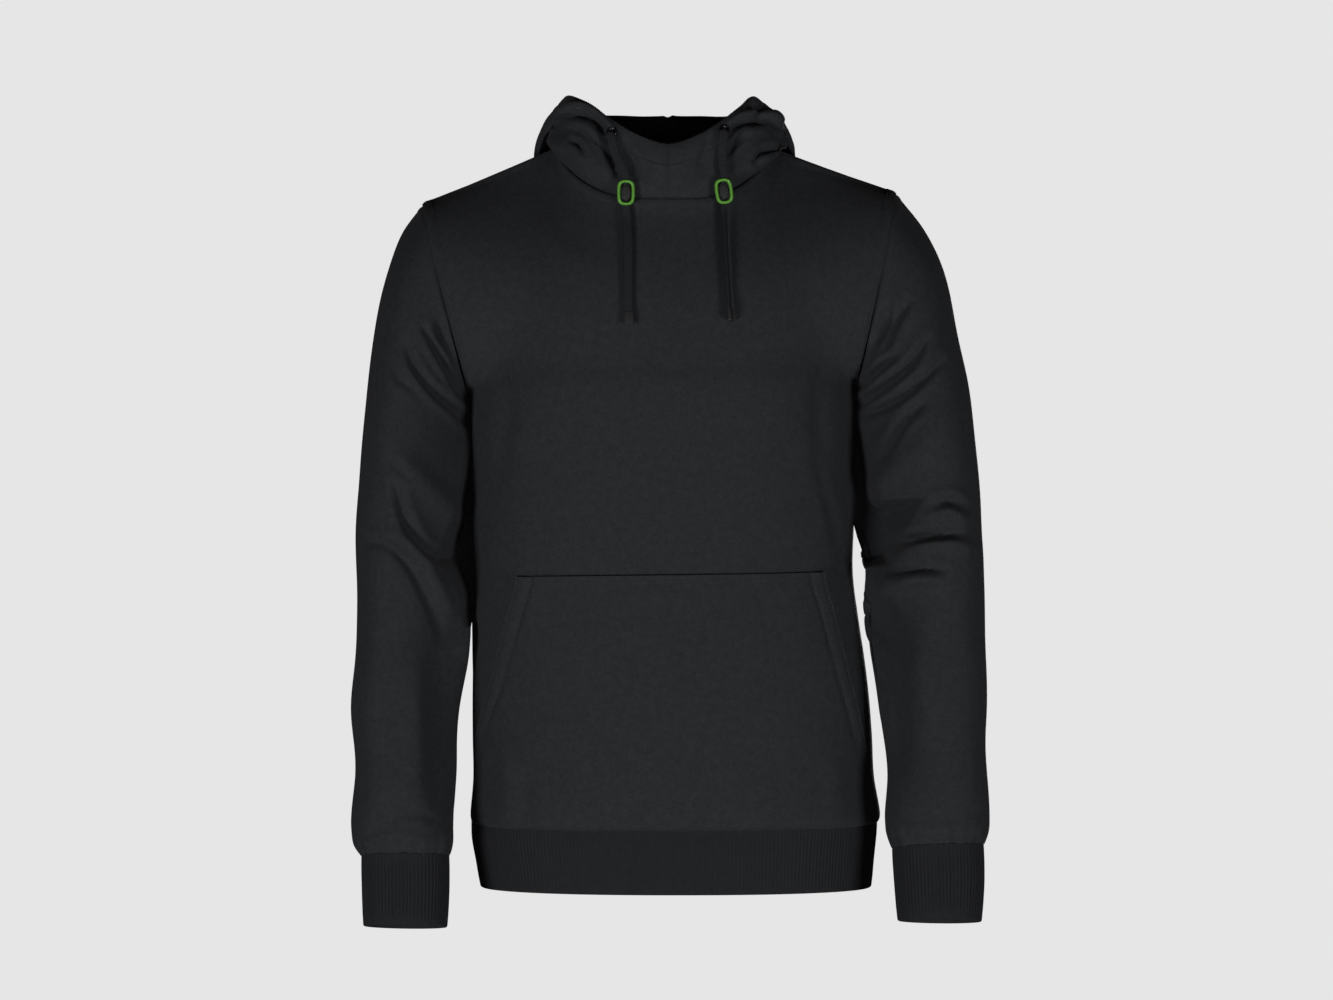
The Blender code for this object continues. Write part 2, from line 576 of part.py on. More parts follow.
def tube(name, rows, steps, folds, finish, side):
    """A sleeve or a cuff: rings from a table, one wall thick, sewn at its ends."""
    rings = [between(rows, step / steps) for step in range(steps + 1)]
    outer = [[ring_point(ring, k / AROUND) for k in range(AROUND)] for ring in rings]
    ahead = Vector((0, -1, 0))
    normals = grid_normals(outer, closed=True, outward=(steps // 2, AROUND // 4, ahead))
    for step in range(1, steps):
        for k in range(AROUND):
            outer[step][k] += normals[step][k] * fold_height(folds, step / steps, k / AROUND)
    normals = grid_normals(outer, closed=True, outward=(steps // 2, AROUND // 4, ahead))
    ways = [[-normal * WALL for normal in line] for line in normals]
    for step in (0, steps):
        centre = sum(outer[step], Vector()) / AROUND
        ways[step] = [(centre - point).normalized() * WALL for point in outer[step]]
    middle = [sum(line, Vector()) / AROUND for line in outer]
    outer[0] = [point + (middle[1] - middle[0]).normalized() * HALF_GAP for point in outer[0]]
    outer[-1] = [point - (middle[-1] - middle[-2]).normalized() * HALF_GAP
                 for point in outer[-1]]
    if folds:
        across = armhole_frame(side)[1]
        for k in range(AROUND):
            part = 2 * k / AROUND if k <= YOKE_ROWS else 2 - 2 * k / AROUND
            sign = -1 if k <= YOKE_ROWS else 1
            outer[0][k] = armhole_point(side, part, sign) - across * HALF_GAP
            ways[0][k] = armhole_inwards(side, part, sign, -1) * WALL
    inner = [[point + way for point, way in zip(*pair)] for pair in zip(outer, ways)]
    wall(name, outer, inner, finish, closed=True)


# ---------------------------------------------------------------- hood
def hood_half(side, finish):
    """Half of the hood, from the neck seam to the edge of the face opening."""
    outwards = -1 if side == "right" else 1
    columns = []
    for step in range(2 * QUARTER_COLUMNS + 1):
        row = between(HOODS[side], step * HOOD_STEP)
        angle = math.radians(step * HOOD_STEP)
        seam, out = neck_point(angle, side), neck_outwards(angle, side)
        points = [seam]
        for part in ("stand", "turn", "fall", "far", "crest", "rim"):
            reach, height = getattr(row, part + "_out"), getattr(row, part + "_z")
            points.append(Vector((seam.x, seam.y, height)) + out * reach)
        columns.append(curve_through(points, HOOD_SPANS))
    outer = [list(line) for line in zip(*columns)]
    normals = grid_normals(outer, outward=(1, 1, Vector((0, -1, 0))))
    for line in normals:
        for end in (0, -1):
            line[end] = Vector((0, line[end].y, line[end].z)).normalized()
    ways = [[-normal * WALL for normal in line] for line in normals]
    for step, point in enumerate(outer[0]):
        inwards, across = neck_seam(math.radians(step * HOOD_STEP), side)
        ways[0][step] = inwards * WALL
        outer[0][step] = point + across * HALF_GAP
    for line in outer:
        for end in (0, -1):
            line[end].x = outwards * HALF_GAP
    inner = [[point + way for point, way in zip(*pair)] for pair in zip(outer, ways)]
    for line in inner:
        for end in (0, -1):
            line[end].x = outwards * HALF_GAP
    wall("hood_" + side, outer, inner, finish)


# ---------------------------------------------------------------- drawcord and its fittings
def oval_ring(name, outer, hole, lift, depth, finish, steps=24):
    """A ring with chamfered edges round an oval hole, lying in the XZ plane."""
    half = depth / 2
    section = (
        (0, -half, CHAMFER), (0, -half + CHAMFER, 0), (0, half - CHAMFER, 0), (0, half, CHAMFER),
        (1, half, CHAMFER), (1, half - CHAMFER, 0), (1, -half + CHAMFER, 0), (1, -half, CHAMFER))
    shape = bmesh.new()
    loops = []
    for step in range(steps):
        angle = 2 * math.pi * step / steps
        loop = []
        for on_hole, y, inset in section:
            size, shift, way = (hole, lift, 1) if on_hole else (outer, 0, -1)
            loop.append(shape.verts.new((math.cos(angle) * (size[0] / 2 + way * inset), y,
                                         math.sin(angle) * (size[1] / 2 + way * inset) + shift)))
        loops.append(loop)
    for step in range(steps):
        here, ahead = loops[step - 1], loops[step]
        for k in range(len(section)):
            shape.faces.new((here[k - 1], here[k], ahead[k], ahead[k - 1]))
    bmesh.ops.recalc_face_normals(shape, faces=shape.faces)
    mesh = bpy.data.meshes.new(name)
    shape.to_mesh(mesh)
    shape.free()
    return add_object(name, mesh, finish)


def oval_block(name, size, depth, finish, steps=24):
    """An oval block with chamfered edges, its flat faces across Y."""
    shape = bmesh.new()
    bmesh.ops.create_cone(shape, cap_ends=True, segments=steps, radius1=0.5, radius2=0.5,
                          depth=1, matrix=Matrix.Rotation(math.radians(90), 4, "X"))
    bmesh.ops.scale(shape, vec=(size[0], depth, size[1]), verts=shape.verts)
    rims = [edge for edge in shape.edges
            if abs(edge.verts[0].co.y - edge.verts[1].co.y) < depth / 2]
    bmesh.ops.bevel(shape, geom=rims, offset=CHAMFER, segments=1, affect="EDGES")
    mesh = bpy.data.meshes.new(name)
    shape.to_mesh(mesh)
    shape.free()
    return add_object(name, mesh, finish)


def bore(piece, channel):
    cut = piece.modifiers.new("Cord bore", "BOOLEAN")
    cut.operation = "DIFFERENCE"
    cut.object = channel


def eyelet(side, finish):
    """A metal ring on the hood's casing, just off the cloth."""
    piece = oval_ring("eyelet_" + side, (2 * EYELET_OUTER, 2 * EYELET_OUTER),
                      (2 * EYELET_HOLE, 2 * EYELET_HOLE), 0, EYELET_DEPTH, finish)
    facing = EYELET_FACING[side].normalized()
    piece.rotation_mode = "QUATERNION"
    piece.rotation_quaternion = (-facing).to_track_quat("Y", "Z")
    piece.location = Vector(CORD_ROUTES[side][0]) + facing * EYELET_DEPTH / 4


def drawcord(side, finish):
    """The free end of the cord, from the eyelet to the tip."""
    points = [Vector(point) for point in CORD_ROUTES[side]]
    smooth = curve_through(points, [CORD_STEPS] * (len(points) - 1))
    line = bpy.data.curves.new("drawcord_" + side, "CURVE")
    line.dimensions = "3D"
    line.bevel_depth = CORD_RADIUS
    line.bevel_resolution = 2
    line.use_fill_caps = True
    line.materials.append(finish)
    spline = line.splines.new("POLY")
    spline.points.add(len(smooth) - 1)
    for knot, point in zip(spline.points, smooth):
        knot.co = (*point, 1)
    piece = bpy.data.objects.new("drawcord_" + side, line)
    bpy.context.collection.objects.link(piece)


def cord_lock(side, shell_finish, core_finish):
    """The oval lock: a green ring and a dark core, both bored for the cord."""
    ring = oval_ring("cord_lock_" + side, (LOCK_WIDTH, LOCK_HEIGHT),
                     (LOCK_HOLE_WIDTH, LOCK_HOLE_HEIGHT), LOCK_HOLE_LIFT, LOCK_DEPTH,
                     shell_finish)
    core = oval_block("lock_core_" + side, (LOCK_HOLE_WIDTH - 2 * GAP, LOCK_HOLE_HEIGHT - 2 * GAP),
                      CORE_DEPTH, core_finish)
    channel_mesh = bpy.data.meshes.new("channel_" + side)
    shape = bmesh.new()
    bmesh.ops.create_cone(shape, cap_ends=True, segments=16, radius1=CHANNEL_RADIUS,
                          radius2=CHANNEL_RADIUS, depth=2 * LOCK_HEIGHT)
    shape.to_mesh(channel_mesh)
    shape.free()
    channel = bpy.data.objects.new("channel_" + side, channel_mesh)
    bpy.context.collection.objects.link(channel)
    channel.hide_render = True
    channel.display_type = "WIRE"
    place = Vector(CORD_ROUTES[side][LOCK_PLACE])
    for piece, lift in ((ring, 0), (core, LOCK_HOLE_LIFT), (channel, 0)):
        piece.rotation_euler = (0, LOCK_TURN[side] if piece is not channel else 0, 0)
        piece.location = place + lift * UP
    for piece in (ring, core):
        bore(piece, channel)


def cord_tip(side, finish):
    """The crimped end of the cord."""
    end, before = (Vector(point) for point in CORD_ROUTES[side][:-3:-1])
    along = (end - before).normalized()
    shape = bmesh.new()
    bmesh.ops.create_cube(shape, size=1)
    bmesh.ops.scale(shape, vec=(TIP_WIDTH, TIP_THICKNESS, TIP_LENGTH), verts=shape.verts)
    bmesh.ops.bevel(shape, geom=shape.edges[:], offset=CHAMFER, segments=1, affect="EDGES")
    mesh = bpy.data.meshes.new("cord_tip_" + side)
    shape.to_mesh(mesh)
    shape.free()
    piece = add_object("cord_tip_" + side, mesh, finish)
    piece.rotation_mode = "QUATERNION"
    piece.rotation_quaternion = (-along).to_track_quat("Z", "Y")
    piece.location = end + along * (GAP + TIP_LENGTH / 2)


def build():
    for stale in list(bpy.data.objects):
        bpy.data.objects.remove(stale, do_unlink=True)
    sweat = material("black_sweatshirt_knit", (0.018, 0.018, 0.019), 0.9)
    rib = material("black_rib_knit", (0.016, 0.016, 0.017), 0.9)
    braid = material("black_braid", (0.016, 0.016, 0.017), 0.8)
    green = material("green_plastic", (0.12, 0.34, 0.045), 0.35)
    black = material("black_plastic", (0.012, 0.012, 0.013), 0.4)
    metal = material("dark_metal", (0.12, 0.12, 0.125), 0.3, 1.0)
    front, normals = panel("front", sweat)
    panel("back", sweat)
    pocket(front, normals, sweat)
    hem_band(rib)
    for side in ("right", "left"):
        tube("sleeve_" + side, SLEEVES[side], SLEEVE_RINGS, FOLDS[side], sweat, side)
        tube("cuff_" + side, CUFFS[side], CUFF_RINGS, (), rib, side)
        hood_half(side, sweat)
        eyelet(side, metal)
        drawcord(side, braid)
        cord_lock(side, green, black)
        cord_tip(side, black)


build()
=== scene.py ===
"""Looks of the pullover hoodie: cloth with its folds, ribs and stitching, cord, locks, eyelets."""
import math
from collections import namedtuple

import bmesh
import bpy
import numpy as np
from mathutils import Matrix, Vector


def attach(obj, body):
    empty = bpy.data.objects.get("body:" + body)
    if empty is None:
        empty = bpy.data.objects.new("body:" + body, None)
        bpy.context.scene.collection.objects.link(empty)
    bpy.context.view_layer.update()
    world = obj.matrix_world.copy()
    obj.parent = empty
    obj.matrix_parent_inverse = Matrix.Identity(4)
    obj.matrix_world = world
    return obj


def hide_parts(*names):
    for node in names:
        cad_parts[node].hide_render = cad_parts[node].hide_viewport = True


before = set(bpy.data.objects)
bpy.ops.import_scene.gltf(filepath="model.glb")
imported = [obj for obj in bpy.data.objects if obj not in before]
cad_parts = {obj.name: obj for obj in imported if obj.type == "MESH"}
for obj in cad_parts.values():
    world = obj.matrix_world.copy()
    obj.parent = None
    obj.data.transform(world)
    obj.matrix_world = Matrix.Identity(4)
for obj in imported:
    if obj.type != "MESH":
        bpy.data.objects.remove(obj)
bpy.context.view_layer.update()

bl_info = {
    "name": "Pullover hoodie",
    "version": (1, 0, 0),
    "blender": (4, 5, 0),
    "location": "View3D > Sidebar > Hoodie",
    "description": "Makes a pullover hoodie in brushed sweatshirt knit on its packed frame",
    "category": "Object",
}

LONGEST_LEAD = 1.5            # how far a curve may lead into a span, in lengths of that span
SIDES = ("right", "left")     # the wearer's: right is at -X
OUTWARDS = {"right": -1, "left": 1}
FACING = {"front": -1, "back": 1}
BOTH_SIDES = ("first column", "last column")            # edges of a grid of cloth
SHOWN = "_shown"              # ends the name of the piece shown in place of a frame node

# ---------------------------------------------------------------- body of the garment
Section = namedtuple("Section", "z left right front back")
TORSO = (
    Section(-0.6290, -0.1865, 0.1985, 0.1120, 0.1120),      # sewn into the hem rib
    Section(-0.6190, -0.1880, 0.2010, 0.1180, 0.1180),      # cloth blouses over the rib
    Section(-0.5850, -0.1850, 0.1950, 0.1190, 0.1180),
    Section(-0.5300, -0.1855, 0.1925, 0.1190, 0.1150),
    Section(-0.4710, -0.1860, 0.1860, 0.1190, 0.1100),
    Section(-0.3950, -0.1865, 0.1765, 0.1180, 0.1060),      # waist
    Section(-0.3300, -0.1870, 0.1775, 0.1200, 0.1080),
    Section(-0.2700, -0.1878, 0.1780, 0.1230, 0.1120),
    Section(-0.2200, -0.1880, 0.1780, 0.1250, 0.1150),      # underarm
)
HEM = (
    Section(-0.6880, -0.1780, 0.1930, 0.1100, 0.1100),      # free edge
    Section(-0.6640, -0.1820, 0.1950, 0.1120, 0.1120),
    Section(-0.6450, -0.1855, 0.1970, 0.1130, 0.1130),
    TORSO[0],
)
JOIN_Z = TORSO[0].z
BODY_LEVELS = (JOIN_Z, -0.619, -0.585, -0.547, -0.509, -0.471, -0.432, -0.3925,
               -0.352, -0.310, -0.267, -0.220)
ROUNDNESS = 2.3               # exponent of the body's rounded sections
SIDE_COLUMNS = 4              # grid columns along each shoulder seam
QUARTER_COLUMNS = 6           # grid columns along each quarter of the neckline
COLUMNS = 2 * (SIDE_COLUMNS + QUARTER_COLUMNS)
YOKE_ROWS = 8                 # grid rows between the underarm and the shoulder

Armhole = namedtuple("Armhole", "under_x under_z tip_x tip_z half_depth")
ARMHOLES = {
    "right": Armhole(-0.1880, -0.225, -0.2330, -0.043, 0.075),     # wearer's right, at -X
    "left": Armhole(0.1780, -0.215, 0.2166, -0.032, 0.075),
}
EDGE_SWELL = 0.075            # how far the yoke swells out at the armhole, and at the centre
CENTRE_SWELL = {"front": 0.008, "back": 0.014}

# ---------------------------------------------------------------- neckline
NECK_Y = -0.010
NECK_HALF_WIDTH = {"right": 0.105, "left": 0.096}
NECK_FRONT = 0.075
NECK_BACK = 0.072
NECK_FRONT_Z = -0.0415
NECK_RISE = 0.0665            # from centre front to centre back
RISE_START = math.radians(15)
RISE_SPAN = math.radians(105)

# ---------------------------------------------------------------- kangaroo pocket
POCKET_TOP_Z = -0.3925
POCKET_TOP_X = {"right": -0.139, "left": 0.1436}
POCKET_SLANT = 0.25           # how far the hand opening runs outwards for each metre down
POCKET_SIDE_TURN = 0.075      # the lowest side edge, as a part of the turn between side seams
POCKET_FIRST = 3              # grid columns between a side seam and the pocket

# ---------------------------------------------------------------- sleeves and cuffs
# Place runs down the sleeve; lean tips a ring's front up, and fall is the part of its depth
# that the slack cloth at the front loses towards the inside of the arm.
Ring = namedtuple("Ring", "place outer_x outer_z inner_x inner_z centre_y half_depth lean fall")
SLEEVES = {
    "right": (
        Ring(0.00, -0.2330, -0.043, -0.1880, -0.225, 0.000, 0.075, 0.00, 0.00),
        Ring(0.07, -0.2530, -0.072, -0.1895, -0.237, -0.004, 0.077, 0.00, 0.10),
        Ring(0.15, -0.2665, -0.112, -0.1890, -0.254, -0.014, 0.076, 0.00, 0.35),
        Ring(0.25, -0.2785, -0.170, -0.1880, -0.279, -0.025, 0.073, 0.02, 0.60),
        Ring(0.36, -0.2855, -0.238, -0.1860, -0.315, -0.038, 0.070, 0.04, 0.78),
        Ring(0.48, -0.2915, -0.310, -0.1850, -0.362, -0.045, 0.068, 0.06, 0.88),
        Ring(0.60, -0.2935, -0.382, -0.1850, -0.412, -0.048, 0.065, 0.09, 0.88),
        Ring(0.71, -0.2920, -0.448, -0.1865, -0.465, -0.053, 0.061, 0.12, 0.72),
        Ring(0.81, -0.2960, -0.517, -0.1960, -0.520, -0.062, 0.055, 0.14, 0.45),
        Ring(0.90, -0.2910, -0.580, -0.1990, -0.580, -0.071, 0.049, 0.15, 0.25),
        Ring(0.97, -0.2935, -0.640, -0.2010, -0.640, -0.079, 0.044, 0.15, 0.12),
        Ring(1.00, -0.2860, -0.656, -0.2040, -0.656, -0.081, 0.036, 0.15, 0.00),
    ),
    "left": (
        Ring(0.00, 0.2166, -0.032, 0.1780, -0.215, 0.000, 0.075, 0.00, 0.00),
        Ring(0.07, 0.2430, -0.068, 0.1800, -0.227, -0.004, 0.077, 0.00, 0.10),
        Ring(0.15, 0.2605, -0.108, 0.1800, -0.244, -0.014, 0.076, 0.00, 0.35),
        Ring(0.25, 0.2740, -0.168, 0.1790, -0.268, -0.025, 0.073, 0.02, 0.60),
        Ring(0.36, 0.2860, -0.236, 0.1765, -0.303, -0.038, 0.071, 0.04, 0.78),
        Ring(0.48, 0.2935, -0.308, 0.1765, -0.345, -0.045, 0.069, 0.06, 0.88),
        Ring(0.60, 0.2965, -0.380, 0.1860, -0.395, -0.048, 0.066, 0.09, 0.82),
        Ring(0.71, 0.2975, -0.446, 0.1885, -0.452, -0.053, 0.061, 0.12, 0.65),
        Ring(0.81, 0.2985, -0.513, 0.1970, -0.515, -0.062, 0.055, 0.14, 0.45),
        Ring(0.90, 0.2955, -0.576, 0.2045, -0.578, -0.071, 0.049, 0.15, 0.25),
        Ring(0.97, 0.2990, -0.628, 0.2040, -0.630, -0.079, 0.044, 0.15, 0.12),
        Ring(1.00, 0.2945, -0.646, 0.2090, -0.649, -0.081, 0.036, 0.15, 0.00),
    ),
}
CUFFS = {
    "right": (
        SLEEVES["right"][-1]._replace(place=0.0),
        Ring(0.5, -0.2850, -0.687, -0.2040, -0.688, -0.086, 0.0355, 0.15, 0.00),
        Ring(1.0, -0.2836, -0.718, -0.2053, -0.719, -0.091, 0.034, 0.15, 0.00),
    ),
    "left": (
        SLEEVES["left"][-1]._replace(place=0.0),
        Ring(0.5, 0.2945, -0.679, 0.2110, -0.680, -0.086, 0.0355, 0.15, 0.00),
        Ring(1.0, 0.2920, -0.714, 0.2135, -0.713, -0.091, 0.034, 0.15, 0.00),
    ),
}
AROUND = 2 * YOKE_ROWS        # points round a sleeve, two for each row of the armhole
SLEEVE_RINGS = 20

# The largest folds of the sleeves. Place runs down the sleeve and turn runs round it, both
# from 0 to 1: 0 is the inside of the arm, 0.25 its front and 0.5 its outside.
Fold = namedtuple("Fold", "place turn slope reach half_width height")
FOLDS = {
    "right": (
        Fold(0.42, 0.20, -0.25, 0.16, 0.035, 0.0040),       # drag line from the armpit
        Fold(0.60, 0.12, 0.00, 0.14, 0.040, 0.0050),        # inside of the elbow
        Fold(0.68, 0.15, 0.30, 0.14, 0.035, -0.0045),
        Fold(0.93, 0.30, 0.10, 0.30, 0.040, 0.0030),        # slack above the cuff
    ),
    "left": (
        Fold(0.40, 0.18, -0.25, 0.16, 0.035, 0.0040),
        Fold(0.55, 0.14, 0.00, 0.14, 0.030, -0.0060),
        Fold(0.62, 0.18, -0.10, 0.18, 0.032, 0.0070),
        Fold(0.70, 0.12, 0.25, 0.14, 0.035, -0.0050),
        Fold(0.93, 0.28, -0.10, 0.30, 0.040, 0.0030),
    ),
}

# ---------------------------------------------------------------- hood
# A row for each section round the neck, from centre front (0 degrees) to centre back (180).
# Each point of a section has its distance out from the neck seam and its height: the cloth
# stands up, turns over, falls to the bottom of the pouch, rises on the far side, and ends
# over a crest at the edge of the face opening.
HoodRow = namedtuple("HoodRow", (
    "degrees stand_out stand_z turn_out turn_z fall_out fall_z "
    "far_out far_z crest_out crest_z rim_out rim_z"))
BACK_OF_HOOD = (
    HoodRow(120, 0.006, 0.035, 0.014, 0.038, 0.044, -0.020, 0.046, 0.008,
            0.014, 0.051, 0.001, 0.050),
    HoodRow(150, 0.006, 0.036, 0.012, 0.039, 0.078, -0.148, 0.094, -0.070,
            0.045, 0.0470, 0.033, 0.0455),
    HoodRow(180, 0.006, 0.036, 0.012, 0.039, 0.088, -0.185, 0.108, -0.095,
            0.054, 0.0470, 0.042, 0.0455),
)
HOODS = {
    "right": (
        HoodRow(0, 0.0020, -0.031, 0.0030, -0.022, 0.0035, -0.013, 0.0030, -0.005,
                0.0015, 0.004, -0.0005, 0.0097),
        HoodRow(30, 0.0060, -0.022, 0.0020, -0.003, 0.0030, 0.006, 0.0035, 0.015,
                0.0010, 0.026, -0.0030, 0.0325),
        HoodRow(45, 0.0110, -0.008, 0.0030, 0.018, 0.0045, 0.027, 0.0045, 0.035,
                0.0000, 0.0450, -0.0050, 0.0480),
        HoodRow(60, 0.0130, 0.006, 0.0040, 0.026, 0.0065, 0.035, 0.0055, 0.045,
                -0.0010, 0.0560, -0.0075, 0.0550),
        HoodRow(75, 0.0120, 0.013, 0.0040, 0.028, 0.0065, 0.037, 0.0045, 0.047,
                -0.0060, 0.0585, -0.0130, 0.0565),
        HoodRow(90, 0.0095, 0.019, 0.0020, 0.030, 0.0020, 0.038, -0.0020, 0.048,
                -0.0130, 0.0590, -0.0190, 0.0565),
    ) + BACK_OF_HOOD,
    "left": (
        HoodRow(0, 0.0020, -0.031, 0.0030, -0.022, 0.0035, -0.013, 0.0030, -0.005,
                0.0015, 0.004, -0.0005, 0.0097),
        HoodRow(30, 0.0050, -0.023, 0.0020, -0.006, 0.0030, 0.004, 0.0035, 0.013,
                0.0010, 0.023, -0.0030, 0.0300),
        HoodRow(45, 0.0090, -0.012, 0.0030, 0.010, 0.0040, 0.020, 0.0040, 0.030,
                0.0000, 0.0420, -0.0040, 0.0455),
        HoodRow(60, 0.0130, -0.001, 0.0060, 0.020, 0.0075, 0.030, 0.0040, 0.042,
                -0.0050, 0.0555, -0.0105, 0.0545),
        HoodRow(75, 0.0150, 0.006, 0.0090, 0.021, 0.0110, 0.031, 0.0050, 0.043,
                -0.0090, 0.0580, -0.0150, 0.0560),
        HoodRow(90, 0.0170, 0.012, 0.0120, 0.024, 0.0110, 0.032, 0.0050, 0.042,
                -0.0100, 0.0575, -0.0170, 0.0550),
    ) + BACK_OF_HOOD,
}
HOOD_SPANS = (2, 3, 4, 4, 3, 2)         # grid rows between one point of a section and the next
HOOD_STEP = 90 / QUARTER_COLUMNS        # degrees between two columns

CORD_ROUTES = {               # from the eyelet, through the lock, to the tip
    "right": (
        (-0.0524, -0.0786, 0.0207), (-0.0533, -0.0838, 0.0190), (-0.0525, -0.0860, 0.0120),
        (-0.0490, -0.0868, -0.0010), (-0.0425, -0.0882, -0.0130), (-0.0391, -0.0890, -0.0235),
        (-0.0391, -0.0890, -0.0366), (-0.0389, -0.0890, -0.0490), (-0.0380, -0.0912, -0.0620),
        (-0.0373, -0.0990, -0.0800), (-0.0371, -0.1072, -0.1000), (-0.0371, -0.1140, -0.1200),
        (-0.0368, -0.1186, -0.1380), (-0.0363, -0.1206, -0.1490),
    ),
    "left": (
        (0.0526, -0.0758, 0.0229), (0.0530, -0.0812, 0.0215), (0.0515, -0.0835, 0.0140),
        (0.0505, -0.0840, -0.0010), (0.0514, -0.0846, -0.0115), (0.0521, -0.0850, -0.0220),
        (0.0521, -0.0850, -0.0351), (0.0523, -0.0850, -0.0475), (0.0531, -0.0872, -0.0610),
        (0.0540, -0.0959, -0.0800), (0.0550, -0.1053, -0.1000), (0.0560, -0.1124, -0.1200),
        (0.0570, -0.1173, -0.1380), (0.0575, -0.1191, -0.1455),
    ),
}


# ---------------------------------------------------------------- smooth curves
def mix(a, b, part):
    """The value at a part of the way from one to another."""
    return a + (b - a) * part


def smoothstep(part):
    """A part from 0 to 1 that sets out and arrives gently."""
    part = min(max(part, 0.0), 1.0)
    return part * part * (3 - 2 * part)


def eased(low, high, lead_in, lead_out, t):
    """A value on the smooth curve from low to high that sets out and arrives as led."""
    return (low * ((1 + 2 * t) * (1 - t) ** 2) + lead_in * (t * (1 - t) ** 2)
            + high * (t * t * (3 - 2 * t)) + lead_out * (t * t * (t - 1)))


def between(rows, at):
    """The row of a table at a value of its first column, on a smooth curve through the rows."""
    rows = sorted(rows)
    last = len(rows) - 1
    at = min(max(at, rows[0][0]), rows[last][0])
    k = 0
    while k < last - 1 and at > rows[k + 1][0]:
        k += 1
    lower, upper = rows[k], rows[k + 1]
    before, after = rows[max(k - 1, 0)], rows[min(k + 2, last)]
    span = upper[0] - lower[0]
    values = []
    for column in range(len(lower)):
        lead_in = (upper[column] - before[column]) / (upper[0] - before[0]) * span
        lead_out = (after[column] - lower[column]) / (after[0] - lower[0]) * span
        values.append(eased(lower[column], upper[column], lead_in, lead_out,
                            (at - lower[0]) / span))
    return type(lower)(*values)


def shortened(vector, longest):
    """The vector, held to a length."""
    return vector * min(1, longest / max(vector.length, 1e-9))


def curve_through(points, spans):
    """Points on a smooth curve through the given points, with a number of steps per span."""
    result = [points[0].copy()]
    for k, steps in enumerate(spans):
        before = points[max(k - 1, 0)]
        after = points[min(k + 2, len(points) - 1)]
        longest = LONGEST_LEAD * (points[k + 1] - points[k]).length
        lead_in = shortened((points[k + 1] - before) * 0.5, longest)
        lead_out = shortened((after - points[k]) * 0.5, longest)
        result += [eased(points[k], points[k + 1], lead_in, lead_out, step / steps)
                   for step in range(1, steps + 1)]
    return result


# ---------------------------------------------------------------- shared lines of the garment
def section_point(section, turn, side):
    """A point of a rounded section; turn runs from the -X side seam (0) to the +X one (1)."""
    middle = (section.left + section.right) / 2
    half = (section.right - section.left) / 2
    cosine, sine = math.cos(math.pi * turn), math.sin(math.pi * turn)
    x = middle - half * math.copysign(abs(cosine) ** (2 / ROUNDNESS), cosine)
    depth = -section.front if side == "front" else section.back
    return Vector((x, depth * max(sine, 0.0) ** (2 / ROUNDNESS), section.z))


def pocket_turn(z, side):
    """Where the pocket's edge lies at a height, as a part of the turn between side seams."""
    section = between(TORSO, z)
    middle = (section.left + section.right) / 2
    half = (section.right - section.left) / 2
    x = POCKET_TOP_X[side] + OUTWARDS[side] * POCKET_SLANT * (POCKET_TOP_Z - z)
    ratio = min(abs(x - middle) / half, 1.0)
    turn = max(math.acos(ratio ** (ROUNDNESS / 2)) / math.pi, POCKET_SIDE_TURN)
    return turn if side == "right" else 1 - turn


def front_turns(z):
    """The columns of the front: two of them follow the pocket's slanted edges."""
    first, last = POCKET_FIRST, COLUMNS - POCKET_FIRST
    near = pocket_turn(min(z, POCKET_TOP_Z), "right")
    far = pocket_turn(min(z, POCKET_TOP_Z), "left")
    if z > POCKET_TOP_Z:
        upwards = smoothstep((z - POCKET_TOP_Z) / (BODY_LEVELS[-1] - POCKET_TOP_Z))
        near = mix(near, first / COLUMNS, upwards)
        far = mix(far, last / COLUMNS, upwards)
    turns = []
    for i in range(COLUMNS + 1):
        if i <= first:
            turns.append(near * i / first)
        elif i <= last:
            turns.append(mix(near, far, (i - first) / (last - first)))
        else:
            turns.append(mix(far, 1.0, (i - last) / first))
    return turns


def turns_at(z, side):
    if side == "front":
        return front_turns(z)
    return [i / COLUMNS for i in range(COLUMNS + 1)]


def neck_point(angle, side):
    """A point of the neck seam; the angle runs from centre front (0) to centre back (pi)."""
    depth = NECK_FRONT if angle < math.pi / 2 else NECK_BACK
    return Vector((OUTWARDS[side] * NECK_HALF_WIDTH[side] * math.sin(angle),
                   NECK_Y - depth * math.cos(angle),
                   NECK_FRONT_Z + NECK_RISE * smoothstep((angle - RISE_START) / RISE_SPAN)))


def neck_outwards(angle, side):
    """The level way out of the neck, square to the neck seam."""
    depth = NECK_FRONT if angle < math.pi / 2 else NECK_BACK
    return Vector((OUTWARDS[side] * math.sin(angle) / NECK_HALF_WIDTH[side],
                   -math.cos(angle) / depth, 0)).normalized()


def armhole_point(side, part, depth_sign):
    """A point of the armhole; part runs from the underarm (0) to the shoulder tip (1)."""
    hole = ARMHOLES[side]
    low, high = Vector((hole.under_x, 0, hole.under_z)), Vector((hole.tip_x, 0, hole.tip_z))
    swing = math.pi * part
    return (mix(low, high, (1 - math.cos(swing)) / 2)
            + Vector((0, depth_sign * hole.half_depth * math.sin(swing), 0)))


def top_point(place, side):
    """The upper edge of a panel at a column: a shoulder seam, the neckline, the other seam."""
    near = "right" if place <= COLUMNS / 2 else "left"
    inward = min(place, COLUMNS - place)
    if inward >= SIDE_COLUMNS:
        from_side = (inward - SIDE_COLUMNS) / QUARTER_COLUMNS
        return neck_point(math.pi / 2 * (1 + (-from_side if side == "front" else from_side)), near)
    return mix(armhole_point(near, 1, 1), neck_point(math.pi / 2, near), inward / SIDE_COLUMNS)


